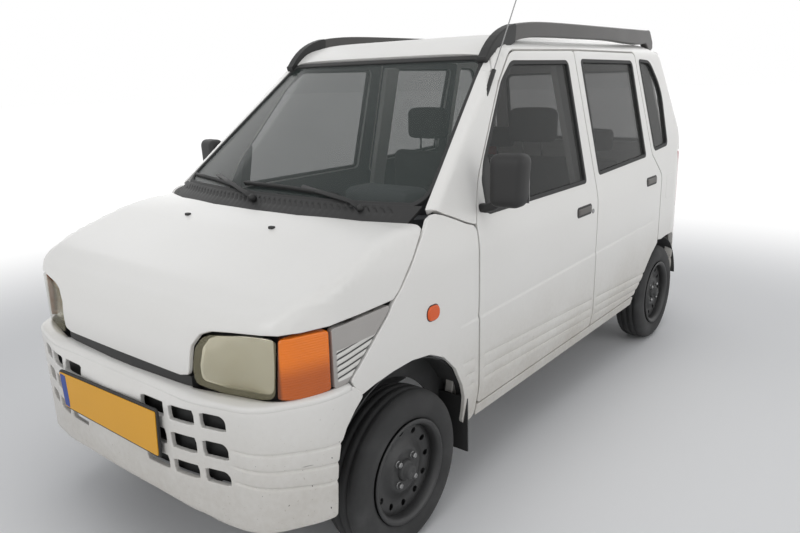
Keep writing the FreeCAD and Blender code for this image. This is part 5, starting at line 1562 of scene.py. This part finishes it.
# %% Door posts
# The posts that the doors close against stand inside the skin, and show when a door is open.
for name, outline in (("centre_post", [(302, 300), (394, 300), (394, 1560), (302, 1560)]),
                      ("front_post", [(-706, 300), (-640, 300), (-640, 1000), (-706, 1000)])):
    panel(name, Surface(cabin, from_side), filled(rounded(outline), 20), thickness=30, roll=4, step=26,
          lift=-72, finishes=("paint",), slot="paint_white", both=True)

# %% Seats
for index, x in enumerate((-310, 310)):
    pad(f"seat_cushion_{index}", (x - 225, -138, 412), (x + 225, 280, 498), 34, -0.04, (0, 450), 14,
        ("front_seats",) if index == 0 else (), (-0.62, 0.62))
    pad(f"seat_back_{index}", (x - 222, 330, 470), (x + 222, 424, 1128), 38, -0.10, (380, 470), 0)
    pad(f"headrest_{index}", (x - 122, 404, 1176), (x + 122, 478, 1334), 32, -0.02, (440, 1250), 4)
    for dx in (-50, 50):
        make_mesh(f"headrest_rod_{index}_{dx + 50}",
                  *bar([(x + dx, 440, 1090), (x + dx, 440, 1140), (x + dx, 440, 1200)], 12, 12, 1.0,
                       (0, 1, 0)), ("steel",), slot="chassis_steel")
    make_mesh(f"seat_base_{index}", *soft_block((x - 185, -120, 314), (x + 185, 350, 408), 12, 7),
              ("cabin_plastic",), slot="cabin_plastic")
pad("bench_cushion", (-466, 652, 430), (466, 1010, 512), 36, -0.03, (800, 470), 8, ("rear_bench",),
    (-0.05, 0.05))
pad("bench_back", (-466, 1062, 516), (466, 1140, 1034), 34, -0.10, (1080, 520), 0)
for index, x in enumerate((-310, 310)):
    pad(f"rear_headrest_{index}", (x - 110, 1128, 1066), (x + 110, 1190, 1184), 26, 0.0, (1160, 1120), 2)
    rod = [(x, 1160, 1020), (x, 1160, 1050), (x, 1160, 1090)]
    make_mesh(f"rear_headrest_rod_{index}", *bar(rod, 14, 14, 1.0, (0, 1, 0)), ("steel",),
              slot="chassis_steel")
print("seats made")

# %% Dashboard and steering wheel
dash_line = rounded([(-886, 700, 20), (-886, 1052, 20), (-600, 1010, 60), (-486, 950, 50), (-474, 880, 40),
                     (-545, 706, 30)])
dash_x = np.linspace(-552, 552, 9)
section = np.stack([dash_line[:, 0], dash_line[:, 1]], 1)
rows = np.array([np.column_stack([np.full(len(section), x), section]) for x in dash_x])
count = len(section)
ring = np.arange(count)
dash_points = np.concatenate([rows.reshape(-1, 3), [[-552, -650, 880], [552, -650, 880]]])
fan = np.concatenate([np.stack([np.full(count, 9 * count), (ring + 1) % count, ring], 1),
                      np.stack([np.full(count, 9 * count + 1), 8 * count + ring,
                                8 * count + (ring + 1) % count], 1)])
make_mesh("dashboard_top", dash_points, [grid_faces(9, count), fan], ("cabin_plastic",),
          slot="cabin_plastic", replaces=("dashboard",), smooth=False)
make_mesh("instrument_hood", *soft_block((132, -720, 962), (438, -562, 1108), 34, 9), ("cabin_plastic",),
          slot="cabin_plastic")
make_mesh("dials", *soft_block((152, -566, 980), (418, -559, 1086), 3, 7), ("black",), slot="cabin_plastic")
make_mesh("centre_console", *soft_block((-93, -648, 314), (93, -472, 718), 16, 7), ("cabin_plastic",),
          slot="cabin_plastic")
column_way, wheel_centre = np.array([0, -0.82, -0.57]) / np.hypot(0.82, 0.57), np.array([330, -340, 925.0])
column_profile = [(44, 0.1), (44, 24), (50, 27), (300, 27), (300, 0.1)]
make_mesh("steering_column", *turned(column_profile, wheel_centre, 32, column_way), ("cabin_plastic",),
          slot="cabin_plastic")
rim_angles = np.linspace(0, 2 * math.pi, 20, endpoint=False)
rim_circle = np.stack([13 * np.cos(rim_angles), 178 + 13 * np.sin(rim_angles)], 1)[::-1]
make_mesh("steering_rim", *turned(rim_circle, wheel_centre, 72, column_way), ("black",),
          "steering_wheel", "black_plastic", ("steering_wheel",))
make_mesh("steering_pad", *turned([(-16, 0.1), (-16, 40), (-10, 56), (18, 60), (30, 46), (30, 0.1)],
                                  wheel_centre, 40, column_way), ("black",), "steering_wheel",
          "black_plastic")
down_way = np.cross(column_way, (1, 0, 0))
down_way *= -np.sign(down_way[2])
for index, way in enumerate((np.array([1.0, 0, 0]), np.array([-1.0, 0, 0]), down_way)):
    spoke = wheel_centre + column_way * np.array([[10], [8], [2]]) + way * np.array([[30], [100], [172]])
    make_mesh(f"steering_spoke_{index}", *bar(spoke, 30, 14, 0.7, tuple(-column_way)), ("black",),
              "steering_wheel", "black_plastic")

# %% Finishes of the carried-over pieces
CARRIED = {"tailgate_glass": "side_glass", "quarter_glass": "side_glass", "underbody": "under",
           "subframe": "chassis", "front_arms": "chassis", "knuckle_left": "chassis",
           "knuckle_right": "chassis", "rear_axle": "chassis",
           "arch_liners": "under", "engine": "chassis", "exhaust": "exhaust", "fuel_tank": "under",
           "front_frame": "under",
           "grille_panels": "black", "mud_flaps": "rubber"}
CARRIED.update({f"door_glass_{end}_{side}": "side_glass" for end in ("front", "rear") for side, _ in SIDES})
for node, name in CARRIED.items():
    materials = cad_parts[node].data.materials
    materials.clear()
    materials.append(finish[name].material)
    print(node, "wears", name)
